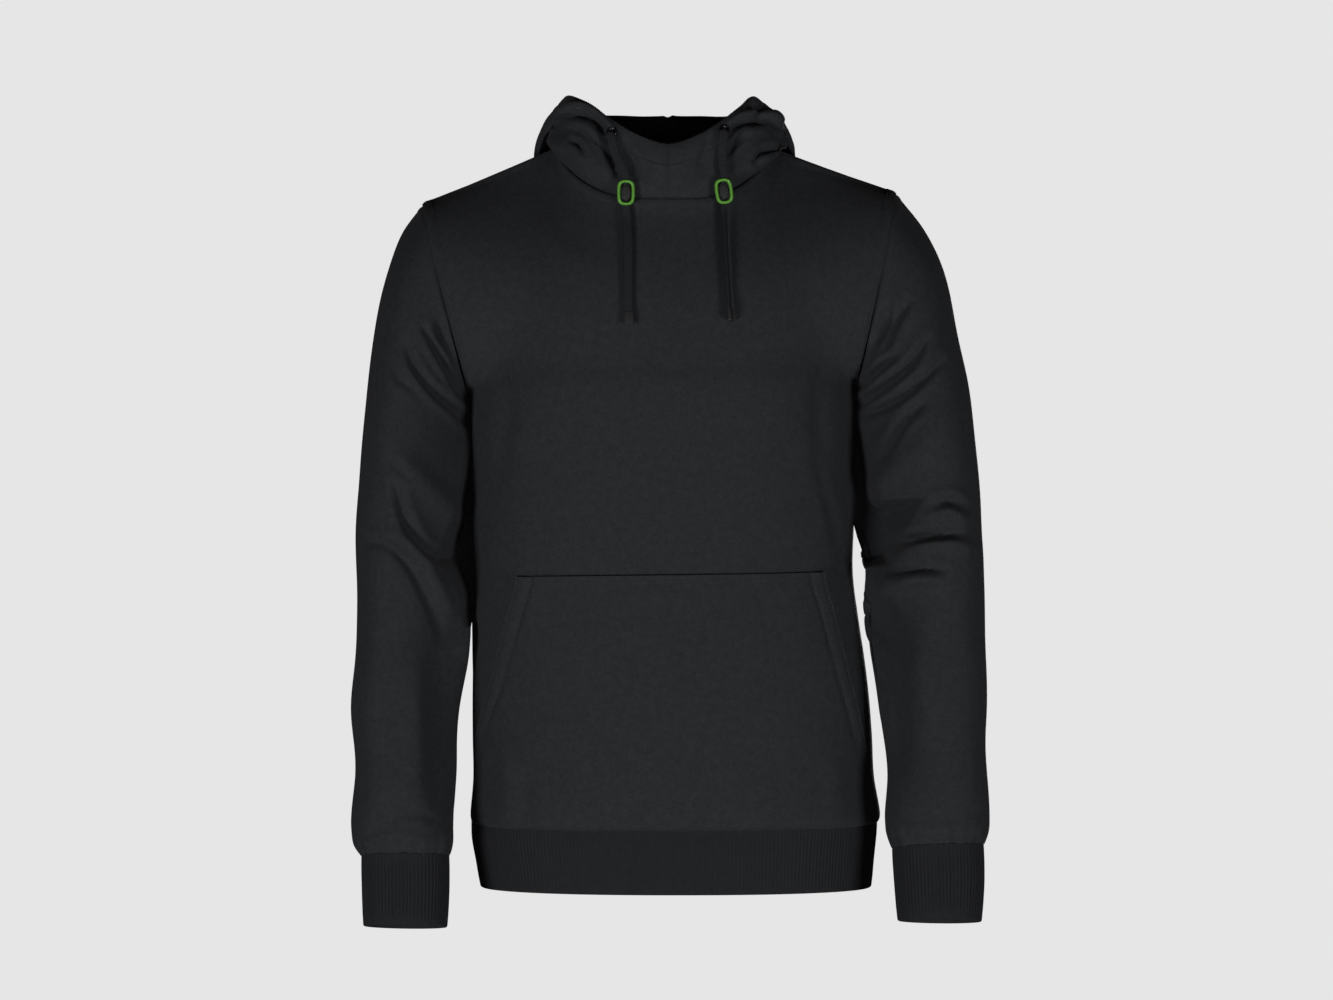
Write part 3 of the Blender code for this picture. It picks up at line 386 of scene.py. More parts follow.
def panel_grid(side):
    """The outer points of the front or the back, from the hem join to the top."""
    grid = []
    underarm_z = [mix(ARMHOLES["right"].under_z, ARMHOLES["left"].under_z, i / COLUMNS)
                  for i in range(COLUMNS + 1)]
    for level in BODY_LEVELS:
        raised = (level - JOIN_Z) / (BODY_LEVELS[-1] - JOIN_Z)
        line = []
        for i, turn in enumerate(turns_at(level, side)):
            point = section_point(between(TORSO, level), turn, side)
            point.z = mix(JOIN_Z, underarm_z[i], raised)
            line.append(point)
        grid.append(line)
    for row in range(1, YOKE_ROWS + 1):
        part = row / YOKE_ROWS
        line = []
        for i in range(COLUMNS + 1):
            from_middle = abs(2 * i / COLUMNS - 1)
            near_edge = max(from_middle - 0.6, 0) / 0.4
            climb = mix(part, (1 - math.cos(math.pi * part)) / 2, near_edge)
            swell = mix(CENTRE_SWELL[side], EDGE_SWELL, from_middle ** 1.5)
            bow = math.sin(math.pi * part) ** (1.7 - 0.7 * near_edge)
            point = mix(grid[len(BODY_LEVELS) - 1][i], top_point(i, side), climb)
            line.append(point + Vector((0, FACING[side] * swell * bow, 0)))
        grid.append(line)
    return grid


def ring_point(ring, turn):
    """A point of a sleeve ring; turn runs from the inside of the arm over its front."""
    inside = Vector((ring.inner_x, ring.centre_y, ring.inner_z))
    outside = Vector((ring.outer_x, ring.centre_y, ring.outer_z))
    forwards = Vector((0, -math.cos(ring.lean), math.sin(ring.lean)))
    swing = 2 * math.pi * turn
    slack = ring.fall * ((1 + math.cos(swing)) / 2) ** 2 if math.sin(swing) > 0 else 0
    return mix(inside, outside, (1 - math.cos(swing)) / 2) + forwards * (
        ring.half_depth * math.sin(swing) * (1 - slack))


def fold_height(folds, place, turn):
    """How far the folds move a point of the sleeve out, or in where it is negative."""
    total = 0.0
    for fold in folds:
        around = (turn - fold.turn + 0.5) % 1 - 0.5
        along = place - fold.place - fold.slope * around
        total += fold.height * math.exp(-(along / fold.half_width) ** 2
                                        - (around / fold.reach) ** 2)
    return total


# ---------------------------------------------------------------- creases
# Each crease is a soft ridge (or trough, where its height is negative) along a line seen from
# the front or the back: points of x and z, its half width and its height.
Crease = namedtuple("Crease", "line half_width height")
CREASES = {
    "sleeve_right": {
        -1: (
            Crease(((-0.205, -0.150), (-0.210, -0.165), (-0.198, -0.185), (-0.187, -0.216)),
                   0.0062, -0.0160),
            Crease(((-0.227, -0.163), (-0.211, -0.192), (-0.198, -0.216), (-0.188, -0.233)),
                   0.0030, -0.0060),
            Crease(((-0.244, -0.177), (-0.236, -0.199), (-0.219, -0.222), (-0.201, -0.238),
                    (-0.190, -0.252)), 0.0032, -0.0055),
            Crease(((-0.264, -0.190), (-0.250, -0.209), (-0.233, -0.222)), 0.0040, -0.0022),
            Crease(((-0.259, -0.285), (-0.243, -0.302)), 0.0035, -0.0022),
            Crease(((-0.252, -0.308), (-0.246, -0.336), (-0.231, -0.365), (-0.214, -0.377)),
                   0.0038, -0.0065),
            Crease(((-0.283, -0.362), (-0.260, -0.365), (-0.239, -0.384), (-0.222, -0.418),
                    (-0.212, -0.448)), 0.0050, -0.0065),
            Crease(((-0.262, -0.352), (-0.240, -0.366), (-0.218, -0.398), (-0.204, -0.428)),
                   0.0080, 0.0070),
            Crease(((-0.208, -0.462), (-0.212, -0.509), (-0.211, -0.565), (-0.207, -0.615)),
                   0.0130, -0.0110),
            Crease(((-0.270, -0.430), (-0.276, -0.520), (-0.268, -0.600)), 0.0140, 0.0035),
            Crease(((-0.240, -0.470), (-0.232, -0.530), (-0.238, -0.590)), 0.0120, 0.0035),
            Crease(((-0.282, -0.641), (-0.250, -0.634), (-0.216, -0.642)), 0.0040, 0.0030),
            Crease(((-0.270, -0.622), (-0.236, -0.612), (-0.212, -0.620)), 0.0050, -0.0030),
        ),
        1: (
            Crease(((-0.244, -0.130), (-0.222, -0.165), (-0.200, -0.205)), 0.0080, 0.0070),
            Crease(((-0.262, -0.190), (-0.232, -0.212), (-0.202, -0.246)), 0.0040, -0.0055),
            Crease(((-0.240, -0.176), (-0.220, -0.205), (-0.198, -0.226)), 0.0036, -0.0050),
            Crease(((-0.276, -0.352), (-0.244, -0.366), (-0.208, -0.362)), 0.0080, 0.0075),
            Crease(((-0.270, -0.385), (-0.240, -0.396), (-0.212, -0.390)), 0.0042, -0.0060),
            Crease(((-0.252, -0.440), (-0.238, -0.500), (-0.246, -0.570)), 0.0100, 0.0045),
        ),
    },
    "sleeve_left": {
        -1: (
            Crease(((0.177, -0.185), (0.194, -0.168), (0.205, -0.148)), 0.0066, -0.0165),
            Crease(((0.176, -0.222), (0.189, -0.209), (0.201, -0.197), (0.211, -0.189)),
                   0.0030, -0.0055),
            Crease(((0.182, -0.235), (0.196, -0.222), (0.213, -0.209), (0.227, -0.195),
                    (0.242, -0.172)), 0.0032, -0.0060),
            Crease(((0.186, -0.243), (0.213, -0.231), (0.237, -0.211), (0.256, -0.193)),
                   0.0034, -0.0052),
            Crease(((0.201, -0.284), (0.210, -0.267), (0.222, -0.248), (0.237, -0.233)),
                   0.0036, -0.0045),
            Crease(((0.223, -0.139), (0.213, -0.156), (0.202, -0.182)), 0.0036, -0.0045),
            Crease(((0.249, -0.328), (0.262, -0.324), (0.278, -0.331)), 0.0038, -0.0055),
            Crease(((0.240, -0.338), (0.258, -0.333), (0.276, -0.340)), 0.0060, 0.0050),
            Crease(((0.217, -0.364), (0.237, -0.357), (0.268, -0.354)), 0.0040, -0.0075),
            Crease(((0.214, -0.376), (0.234, -0.369), (0.262, -0.364), (0.282, -0.370)),
                   0.0075, 0.0065),
            Crease(((0.213, -0.391), (0.232, -0.386), (0.254, -0.388)), 0.0038, -0.0065),
            Crease(((0.196, -0.408), (0.214, -0.400), (0.234, -0.396), (0.257, -0.397)),
                   0.0070, 0.0070),
            Crease(((0.197, -0.418), (0.204, -0.453), (0.209, -0.509), (0.213, -0.565)),
                   0.0130, -0.0110),
            Crease(((0.240, -0.430), (0.236, -0.480), (0.246, -0.530)), 0.0120, 0.0040),
            Crease(((0.214, -0.624), (0.250, -0.630), (0.284, -0.620)), 0.0045, 0.0030),
        ),
        1: (
            Crease(((0.186, -0.206), (0.208, -0.170), (0.232, -0.132)), 0.0080, 0.0075),
            Crease(((0.190, -0.236), (0.220, -0.206), (0.256, -0.190)), 0.0040, -0.0055),
            Crease(((0.196, -0.262), (0.222, -0.240), (0.250, -0.232)), 0.0038, -0.0045),
            Crease(((0.206, -0.350), (0.240, -0.364), (0.276, -0.352)), 0.0080, 0.0075),
            Crease(((0.210, -0.384), (0.242, -0.392), (0.274, -0.382)), 0.0042, -0.0060),
            Crease(((0.246, -0.430), (0.236, -0.500), (0.246, -0.570)), 0.0100, 0.0045),
        ),
    },
    "front_body": {
        -1: (
            Crease(((0.139, -0.288), (0.146, -0.312), (0.153, -0.340),
                    (0.160, -0.372), (0.168, -0.440)), 0.0040, -0.0014),
            Crease(((0.150, -0.200), (0.140, -0.235), (0.145, -0.290)), 0.0100, -0.0030),
            Crease(((0.168, -0.236), (0.150, -0.262), (0.120, -0.276)), 0.0090, 0.0022),
            Crease(((-0.176, -0.244), (-0.158, -0.262), (-0.128, -0.270)), 0.0090, 0.0022),
            Crease(((-0.160, -0.205), (-0.150, -0.240), (-0.158, -0.300)), 0.0100, -0.0028),
            Crease(((-0.120, -0.060), (-0.100, -0.090), (-0.060, -0.110)), 0.0120, 0.0012),
            Crease(((-0.150, -0.560), (-0.147, -0.625)), 0.0090, 0.0022),
            Crease(((-0.132, -0.575), (-0.130, -0.625)), 0.0070, -0.0018),
            Crease(((-0.092, -0.580), (-0.090, -0.625)), 0.0120, 0.0016),
            Crease(((0.090, -0.585), (0.092, -0.625)), 0.0120, 0.0014),
            Crease(((0.152, -0.560), (0.158, -0.622)), 0.0090, 0.0020),
        ),
    },
    "back_body": {
        1: (
            Crease(((-0.150, -0.205), (-0.142, -0.240), (-0.150, -0.300)), 0.0110, -0.0030),
            Crease(((0.150, -0.200), (0.140, -0.235), (0.146, -0.290)), 0.0110, -0.0030),
            Crease(((-0.120, -0.400), (-0.040, -0.424), (0.060, -0.410)), 0.0120, 0.0022),
            Crease(((-0.060, -0.452), (0.030, -0.470), (0.120, -0.446)), 0.0120, -0.0020),
            Crease(((-0.110, -0.560), (-0.104, -0.625)), 0.0110, 0.0022),
            Crease(((0.040, -0.575), (0.044, -0.625)), 0.0110, 0.0018),
        ),
    },
    "hood_right": {
        -1: (
            Crease(((-0.0435, 0.0160), (-0.0400, 0.0040), (-0.0340, -0.0100), (-0.0290, -0.0200)),
                   0.0050, -0.0055),
            Crease(((-0.1060, 0.0330), (-0.0900, 0.0385), (-0.0735, 0.0350), (-0.0605, 0.0220),
                    (-0.0530, -0.0020), (-0.0480, -0.0200)), 0.0034, -0.0090),
            Crease(((-0.1040, 0.0420), (-0.0880, 0.0470), (-0.0700, 0.0430), (-0.0560, 0.0290),
                    (-0.0480, 0.0060)), 0.0048, 0.0040),
            Crease(((-0.0900, 0.0140), (-0.0840, 0.0100), (-0.0800, 0.0020)), 0.0024, -0.0045),
            Crease(((-0.0760, 0.0100), (-0.0700, -0.0040), (-0.0620, -0.0160)), 0.0070, 0.0026),
        ),
        1: (
            Crease(((-0.096, 0.018), (-0.070, 0.004), (-0.030, -0.010)), 0.0060, 0.0040),
            Crease(((-0.100, -0.020), (-0.060, -0.050), (-0.020, -0.060)), 0.0080, -0.0045),
            Crease(((-0.084, -0.060), (-0.050, -0.100), (-0.012, -0.118)), 0.0100, 0.0040),
        ),
    },
    "hood_left": {
        -1: (
            Crease(((0.0415, 0.0190), (0.0365, 0.0040), (0.0310, -0.0130)), 0.0050, -0.0055),
            Crease(((0.0820, 0.0520), (0.0860, 0.0410), (0.0910, 0.0340)), 0.0050, -0.0080),
            Crease(((0.0960, 0.0430), (0.1040, 0.0310)), 0.0060, 0.0050),
            Crease(((0.0560, 0.0200), (0.0640, 0.0265), (0.0730, 0.0300), (0.0900, 0.0320),
                    (0.1040, 0.0210), (0.1130, 0.0060)), 0.0032, -0.0085),
            Crease(((0.0600, 0.0330), (0.0720, 0.0380), (0.0880, 0.0400), (0.1020, 0.0300)),
                   0.0046, 0.0038),
            Crease(((0.0550, 0.0000), (0.0640, 0.0130), (0.0720, 0.0240)), 0.0026, -0.0055),
            Crease(((0.0820, -0.0060), (0.0890, 0.0040), (0.1130, 0.0090)), 0.0028, -0.0060),
            Crease(((0.0700, 0.0060), (0.0780, 0.0150), (0.0960, 0.0190)), 0.0055, 0.0030),
        ),
        1: (
            Crease(((0.100, 0.016), (0.072, 0.000), (0.028, -0.014)), 0.0060, 0.0040),
            Crease(((0.102, -0.024), (0.064, -0.056), (0.022, -0.070)), 0.0080, -0.0045),
            Crease(((0.080, -0.070), (0.046, -0.112), (0.010, -0.124)), 0.0100, 0.0040),
        ),
    },
}

# Where the slack cloth on the inside of each arm falls back, out of the light.
Hollow = namedtuple("Hollow", "outline depth edge")
HOLLOWS = {
    "sleeve_right": (
        Hollow(((-0.140, -0.235), (-0.187, -0.250), (-0.194, -0.302), (-0.204, -0.343),
                (-0.213, -0.370), (-0.219, -0.379), (-0.208, -0.391), (-0.198, -0.416),
                (-0.189, -0.442), (-0.140, -0.455)), 0.085, 0.018),
        Hollow(((-0.150, -0.455), (-0.204, -0.462), (-0.214, -0.505), (-0.214, -0.560),
                (-0.206, -0.612), (-0.150, -0.618)), 0.012, 0.024),
    ),
    "sleeve_left": (
        Hollow(((0.130, -0.222), (0.181, -0.240), (0.192, -0.282), (0.197, -0.306),
                (0.200, -0.320), (0.237, -0.321), (0.224, -0.344), (0.214, -0.362),
                (0.208, -0.384), (0.130, -0.392)), 0.085, 0.018),
        Hollow(((0.150, -0.392), (0.206, -0.400), (0.210, -0.430), (0.208, -0.480),
                (0.203, -0.530), (0.150, -0.540)), 0.012, 0.024),
    ),
}
HOLLOW_LIMIT = 0.024          # how far behind the middle of the arm the hollows may reach
PUFF = 0.40                   # how high the cloth puffs up beside a sharp crevice
PUFF_PLACE = 2.4              # where it does, in half widths from the crevice
PUFF_REACH = 1.3
SHARP = 0.0045                # half width under which a crease is a sharp crevice

FINE = {                      # points added between two grid points, round and along
    "panel": (8, 9), "sleeve": (9, 12), "hood": (8, 9),
}
YOKE = (len(BODY_LEVELS) - 1) * FINE["panel"][1]        # first fine row of the yoke
RIB_PITCH = 0.0036
RIB_DEPTH = 0.0010
RIB_LEVELS = 12               # rows of points down a band
RIB_THICKNESS = 0.0034        # of the folded band
RIB_TUCK = 0.0010             # how far a band's join reaches up under the cloth above

# Distances of the stitched rows from the edges that they follow.
ARMHOLE_ROWS = (0.0024, 0.0092)
NECK_ROWS = (0.0024, 0.0066)
HEM_ROW = 0.0030
CUFF_ROW = 0.0028
HOOD_CENTRE_ROW = 0.0028
HOOD_EDGE_ROW = 0.0016
CASING_ROW = 0.0200
POCKET_TOP_ROWS = (0.0020, 0.0065)
POCKET_SIDE_ROWS = (0.0024, 0.0158)
POCKET_SHUT = 0.28            # the lower part of the pocket's side that is sewn shut
POCKET_LIFT = 0.0027          # how far the pocket stands off the front
POCKET_GAPE = 0.0016          # how much more it does at its openings
STITCH_GAP = 0.0007
THREAD_RADIUS = 0.00032
THREAD_SIDES = 5

BULGE = 0.0055                # how far a sleeve leans on the body, so that no light shows between
BULGE_REACH = 0.42            # either side of the inside of the arm, in radians
BULGE_FADE = 0.06             # as a part of the sleeve's length, as the next is
BULGE_END = {"right": 0.66, "left": 0.50}
GATHER_COUNTS = (9, 14, 19, 23)         # waves of the cloth gathered into a cuff
EYELET_CLEARING = 0.0085      # the hood lies smooth this near to an eyelet
CENTRE_LAP = 0.0003           # how far each half of the hood passes the middle at their seam


# ---------------------------------------------------------------- fine grids of points
def smooth_matrix(count, steps):
    """The weights that turn a line of points into a finer one on a smooth curve through it."""
    weights = np.zeros(((count - 1) * steps + 1, count))
    for line, row in enumerate(weights):
        k, step = divmod(line, steps)
        if k == count - 1:
            k, step = k - 1, steps
        t = step / steps
        lead_in = t * (1 - t) ** 2 * (1.0 if k == 0 else 0.5)
        lead_out = t * t * (t - 1) * (1.0 if k + 2 == count else 0.5)
        row[k] += (1 + 2 * t) * (1 - t) ** 2
        row[k + 1] += t * t * (3 - 2 * t)
        row[k + 1] += lead_in
        row[max(k - 1, 0)] -= lead_in
        row[min(k + 2, count - 1)] += lead_out
        row[k] -= lead_out
    return weights


def finer(grid, across, along):
    """A coarse grid of points made finer in both directions."""
    points = np.array([[tuple(point) for point in line] for line in grid])
    rows = smooth_matrix(points.shape[0], along)
    columns = smooth_matrix(points.shape[1], across)
    return np.einsum("aj,jik,bi->abk", rows, points, columns)


def unit(vectors):
    """The vectors, each of length one."""
    return vectors / np.maximum(np.linalg.norm(vectors, axis=-1, keepdims=True), 1e-12)


def normals_of(points, closed, way):
    """Unit normals of a fine grid, turned to face the way given at its middle."""
    if closed:
        across = np.roll(points, -1, axis=1) - np.roll(points, 1, axis=1)
    else:
        across = np.gradient(points, axis=1)
    normals = unit(np.cross(across, np.gradient(points, axis=0)))
    rows, columns = points.shape[:2]
    middle = normals[rows // 2, columns // 4 if closed else columns // 2]
    return normals if np.dot(middle, way) > 0 else -normals


def lengths(points, axis):
    """How far along the cloth each point lies from the first of its line."""
    first = np.take(points, [0], axis)
    return np.cumsum(np.linalg.norm(np.diff(points, axis=axis, prepend=first), axis=-1), axis=axis)


def distance_to_line(flat, line):
    """The distance of flat points from a line through some points, and how far along it."""
    nearest = np.full(flat.shape[:2], np.inf)
    along = np.zeros(flat.shape[:2])
    for k, (start, end) in enumerate(zip(line[:-1], line[1:])):
        way = end - start
        part = np.clip((flat - start) @ way / (way @ way), 0, 1)
        away = np.linalg.norm(flat - start - part[..., None] * way, axis=-1)
        closer = away < nearest
        nearest[closer] = away[closer]
        along[closer] = ((k + part) / (len(line) - 1))[closer]
    return nearest, along


def inside_outline(flat, outline):
    """Which flat points lie inside a closed outline."""
    inside = np.zeros(flat.shape[:2], dtype=bool)
    for start, end in zip(outline, np.roll(outline, -1, axis=0)):
        crosses = (flat[..., 1] < start[1]) != (flat[..., 1] < end[1])
        if start[1] != end[1]:
            at = start[0] + (flat[..., 1] - start[1]) * (end[0] - start[0]) / (end[1] - start[1])
            inside ^= crosses & (flat[..., 0] < at)
    return inside


def crease_heights(points, normals, creases):
    """How far the creases seen from the front (-1) and the back (1) move each point out."""
    total = np.zeros(points.shape[:2])
    flat = points[..., (0, 2)]
    for facing, table in creases.items():
        seen = np.clip(normals[..., 1] * facing * 2.5 + 0.4, 0, 1)
        for crease in table:
            route = [Vector((x, 0, z)) for x, z in crease.line]
            line = np.array([(p.x, p.z) for p in curve_through(route, [5] * (len(route) - 1))])
            away, along = distance_to_line(flat, line)
            fade = np.sin(np.pi * np.clip(along * 0.9 + 0.05, 0, 1)) ** 0.6
            shape = np.exp(-(away / crease.half_width) ** 2)
            if crease.height < 0 and crease.half_width <= SHARP:
                shape -= PUFF * np.exp(
                    -((away / crease.half_width - PUFF_PLACE) / PUFF_REACH) ** 2)
            total += crease.height * fade * seen * shape
    return total


def hollow_depths(points, normals, hollows):
    """How far the hollows draw each point of the front back, level with the floor."""
    total = np.zeros(points.shape[:2])
    flat = points[..., (0, 2)]
    for hollow in hollows:
        outline = np.array(hollow.outline)
        away, _ = distance_to_line(flat, np.concatenate([outline, outline[:1]]))
        part = np.clip(away / hollow.edge, 0, 1) * inside_outline(flat, outline)
        seen = np.clip(0.8 - 2 * normals[..., 1], 0, 1)
        total += hollow.depth * part * seen
    return total


def unevenness(points, size, height, seed):
    """Slow, slight swells of the cloth, as knit has everywhere."""
    total = np.zeros(points.shape[:2])
    generator = np.random.default_rng(seed)
    for _ in range(9):
        way = unit(generator.normal(size=3))
        wave = 2 * np.pi / (size * generator.uniform(0.7, 1.8))
        total += np.sin(points @ way * wave + generator.uniform(0, 6.3))
    return total * height / 4


def seam_dip(distance, depth=0.0011, reach=0.0022):
    """The groove that a seam draws into the cloth, by the distance from the seam."""
    return -depth * np.exp(-(distance / reach) ** 2)


def seam_allowance(distance, start, width, height):
    """The raised band where turned seam cloth lies under the panel."""
    rise = np.clip((distance - start) / 0.0012, 0, 1)
    fall = np.clip((start + width - distance) / 0.0016, 0, 1)
    return height * np.minimum(rise, fall)


def ring_closed(points):
    """A grid of points with its first column again after its last."""
    return np.concatenate([points, points[:, :1]], axis=1)


def cloth_mesh(name, points, closed=False):
    """A mesh of one layer over a grid, with a UV map in metres of cloth."""
    rows, columns = points.shape[:2]
    index = np.arange(rows * columns).reshape(rows, columns)
    if closed:
        index = ring_closed(index)
    quads = np.stack([index[:-1, :-1], index[:-1, 1:], index[1:, 1:], index[1:, :-1]], axis=-1)
    mesh = bpy.data.meshes.new(name)
    mesh.from_pydata(points.reshape(-1, 3).tolist(), [], quads.reshape(-1, 4).tolist())
    looped = ring_closed(points) if closed else points
    wide = lengths(looped, 1).mean(axis=0)
    tall = lengths(looped, 0)
    u = np.broadcast_to(wide, tall.shape)
    corners = [np.stack([u[a, b], tall[a, b]], axis=-1) for a, b in (
        (slice(0, -1), slice(0, -1)), (slice(0, -1), slice(1, None)),
        (slice(1, None), slice(1, None)), (slice(1, None), slice(0, -1)))]
    layer = mesh.uv_layers.new(name="Cloth metres")
    layer.data.foreach_set("uv", np.stack(corners, axis=-2).reshape(-1))
    return mesh


def cloth_piece(name, points, normals, slot, closed=False, extra=0.0, bridged=False):
    """A sewn piece: its outer layer given a wall, or its two layers joined at their edges."""
    mesh = cloth_mesh(name, points, closed)
    piece = bpy.data.objects.new(name + SHOWN, mesh)
    bpy.context.collection.objects.link(piece)
    mesh.materials.append(the_finish(slot))
    mesh.update()
    face = mesh.polygons[len(mesh.polygons) // 2]
    outwards = normals[tuple(divmod(face.vertices[0], points.shape[1]))]
    if Vector(outwards).dot(face.normal) < 0:
        mesh.flip_normals()
    select_only(piece)
    if bridged:
        bpy.ops.object.mode_set(mode="EDIT")
        bpy.ops.mesh.select_all(action="DESELECT")
        bpy.ops.mesh.select_non_manifold(extend=False)
        bpy.ops.mesh.bridge_edge_loops()
        bpy.ops.object.mode_set(mode="OBJECT")
    else:
        wall = piece.modifiers.new("Cloth wall", "SOLIDIFY")
        wall.thickness = bpy.context.scene.hoodie_cloth.thickness + extra
        wall.offset = -1
        wall.use_quality_normals = True
        bpy.ops.object.modifier_apply(modifier=wall.name)
    join_frame(piece, name, 50)
    return piece


def join_frame(piece, node, angle):
    """Shades a finished piece and puts it on the frame in place of its node."""
    bpy.ops.object.shade_smooth_by_angle(angle=math.radians(angle))
    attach(piece, "root")
    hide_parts(node)


def face_outwards():
    """Turns the faces of the active piece outwards."""
    bpy.ops.object.mode_set(mode="EDIT")
    bpy.ops.mesh.select_all(action="SELECT")
    bpy.ops.mesh.normals_make_consistent(inside=False)
    bpy.ops.object.mode_set(mode="OBJECT")


def select_none():
    """Leaves edit mode and selects nothing."""
    if bpy.context.object and bpy.context.object.mode != "OBJECT":
        bpy.ops.object.mode_set(mode="OBJECT")
    bpy.ops.object.select_all(action="DESELECT")


def select_only(piece):
    """Selects one piece and makes it the active one."""
    select_none()
    piece.select_set(True)
    bpy.context.view_layer.objects.active = piece


def flat_area(points):
    """The area of a grid of cloth, from the two edges of each of its cells."""
    wide = points[:-1, 1:] - points[:-1, :-1]
    tall = points[1:, :-1] - points[:-1, :-1]
    return float(np.linalg.norm(np.cross(wide, tall), axis=-1).sum())


# ---------------------------------------------------------------- finishes
class Finish:
    """A new material and the few kinds of node that the finishes are made of."""

    def __init__(self, name, colour, roughness, **extra):
        self.material = bpy.data.materials.new(name)
        self.material.use_nodes = True
        self.nodes = self.material.node_tree.nodes
        self.link = self.material.node_tree.links.new
        self.shader = self.nodes["Principled BSDF"].inputs
        self.shader["Base Color"].default_value = (*colour, 1)
        self.shader["Roughness"].default_value = roughness
        for socket, value in extra.items():
            self.shader[socket.replace("_", " ")].default_value = value
        self.place = self.nodes.new("ShaderNodeTexCoord").outputs

    def noise(self, scale, detail=2):
        """Fine specks, by place in the object."""
        specks = self.nodes.new("ShaderNodeTexNoise")
        specks.inputs["Scale"].default_value = scale
        specks.inputs["Detail"].default_value = detail
        self.link(self.place["Object"], specks.inputs["Vector"])
        return specks.outputs["Fac"]

    def bands(self, source, direction, pitch, distortion=0):
        """Bands that repeat at a pitch, in metres of the cloth's own UV map."""
        wave = self.nodes.new("ShaderNodeTexWave")
        wave.wave_type = "BANDS"
        wave.bands_direction = direction
        wave.inputs["Scale"].default_value = 2 * math.pi / (20 * pitch)
        wave.inputs["Distortion"].default_value = distortion
        self.link(source, wave.inputs["Vector"])
        return wave.outputs["Fac"]

    def sum(self, operation, *values):
        """Sockets and fixed numbers worked out together."""
        node = self.nodes.new("ShaderNodeMath")
        node.operation = operation
        for socket, value in zip(node.inputs, values):
            if isinstance(value, (int, float)):
                socket.default_value = value
            else:
                self.link(value, socket)
        return node.outputs["Value"]

    def tones(self, source, colour, low, high, start=0.0, end=1.0):
        """The base colour, from a darker to a lighter tone of one colour."""
        ramp = self.nodes.new("ShaderNodeValToRGB")
        for stop, place, share in zip(ramp.color_ramp.elements, (start, end), (low, high)):
            stop.position = place
            stop.color = (*(value * share for value in colour), 1)
        self.link(source, ramp.inputs["Fac"])
        self.link(ramp.outputs["Color"], self.shader["Base Color"])

    def relief(self, source, strength, distance):
        bump = self.nodes.new("ShaderNodeBump")
        bump.inputs["Strength"].default_value = strength
        bump.inputs["Distance"].default_value = distance
        self.link(source, bump.inputs["Height"])
        self.link(bump.outputs["Normal"], self.shader["Normal"])
        return self.material


def brushed_knit(name, colour, loop_pitch, melange):
    """Sweatshirt knit: fine wales, a brushed surface and a faint melange."""
    made = Finish(name, colour, 0.92, Sheen_Weight=0.02, Sheen_Roughness=0.45,
                  Specular_IOR_Level=0.2)
    fibres = made.noise(620, 4)
    clouds = made.sum("MULTIPLY", made.noise(170, 3), 0.45)
    made.tones(made.sum("MULTIPLY_ADD", fibres, 0.75, clouds), colour,
               1 - melange, 1 + melange, 0.38, 0.82)
    wales = made.bands(made.place["UV"], "X", loop_pitch, 1.5)
    return made.relief(made.sum("MULTIPLY_ADD", wales, 0.35, fibres), 0.35, 0.0006)


def braid_finish(name, colour, pitch):
    """Flat braid: strands that cross on a slant, in the cord's own UV map."""
    made = Finish(name, colour, 0.85, Specular_IOR_Level=0.12)
    strands = []
    for turn in (35, -35):
        lean = made.nodes.new("ShaderNodeMapping")
        lean.inputs["Rotation"].default_value = (0, 0, math.radians(turn))
        made.link(made.place["UV"], lean.inputs["Vector"])
        strands.append(made.bands(lean.outputs["Vector"], "Y", pitch))
    higher = made.sum("MAXIMUM", *strands)
    made.tones(higher, colour, 0.40, 1.10)
    return made.relief(higher, 0.8, 0.0005)


def moulded_plastic(name, colour, roughness):
    """Satin moulded plastic with a faint grain and slight tone changes."""
    made = Finish(name, colour, roughness, Coat_Weight=0.1)
    grain = made.noise(1500)
    made.tones(grain, colour, 0.88, 1.1)
    return made.relief(grain, 0.2, 0.0001)


def gunmetal(name):
    """Dark metal with faint wear."""
    made = Finish(name, (0.06, 0.06, 0.065), 0.30, Metallic=1.0)
    return made.relief(made.noise(900), 0.15, 0.0001)


RIB_TONE = 0.66               # how dark the rib and the thread are, beside the cloth
THREAD_TONE = 0.80
FINISHES = {}


def the_finish(name):
    """Each finish is made once and shared by the pieces that have it."""
    if name not in FINISHES:
        colour = tuple(bpy.context.scene.hoodie_cloth.colour)
        rib = tuple(value * RIB_TONE for value in colour)
        thread = tuple(value * THREAD_TONE for value in colour)
        green = tuple(bpy.context.scene.hoodie_trim.lock_colour)
        makers = {
            "sweatshirt_knit": lambda: brushed_knit(name, colour, 0.0011, 0.28),
            "rib_knit": lambda: brushed_knit(name, rib, 0.0009, 0.18),
            "cord_braid": lambda: braid_finish(name, colour, 0.0016),
            "thread": lambda: moulded_plastic(name, thread, 0.75),
            "green_plastic": lambda: moulded_plastic(name, green, 0.38),
            "black_plastic": lambda: moulded_plastic(name, (0.006, 0.006, 0.007), 0.75),
            "dark_metal": lambda: gunmetal(name),
        }
        FINISHES[name] = makers[name]()
    return FINISHES[name]


# ---------------------------------------------------------------- shapes of the cloth
def displaced(points, normals, height):
    """A grid of cloth moved out by a height at each point."""
    return points + normals * height[..., None]


def fade_from_edge(count, width):
    """Weights from 1 at an edge down to 0, a number of points away."""
    return np.clip(1 - np.arange(count) / width, 0, 1) ** 2


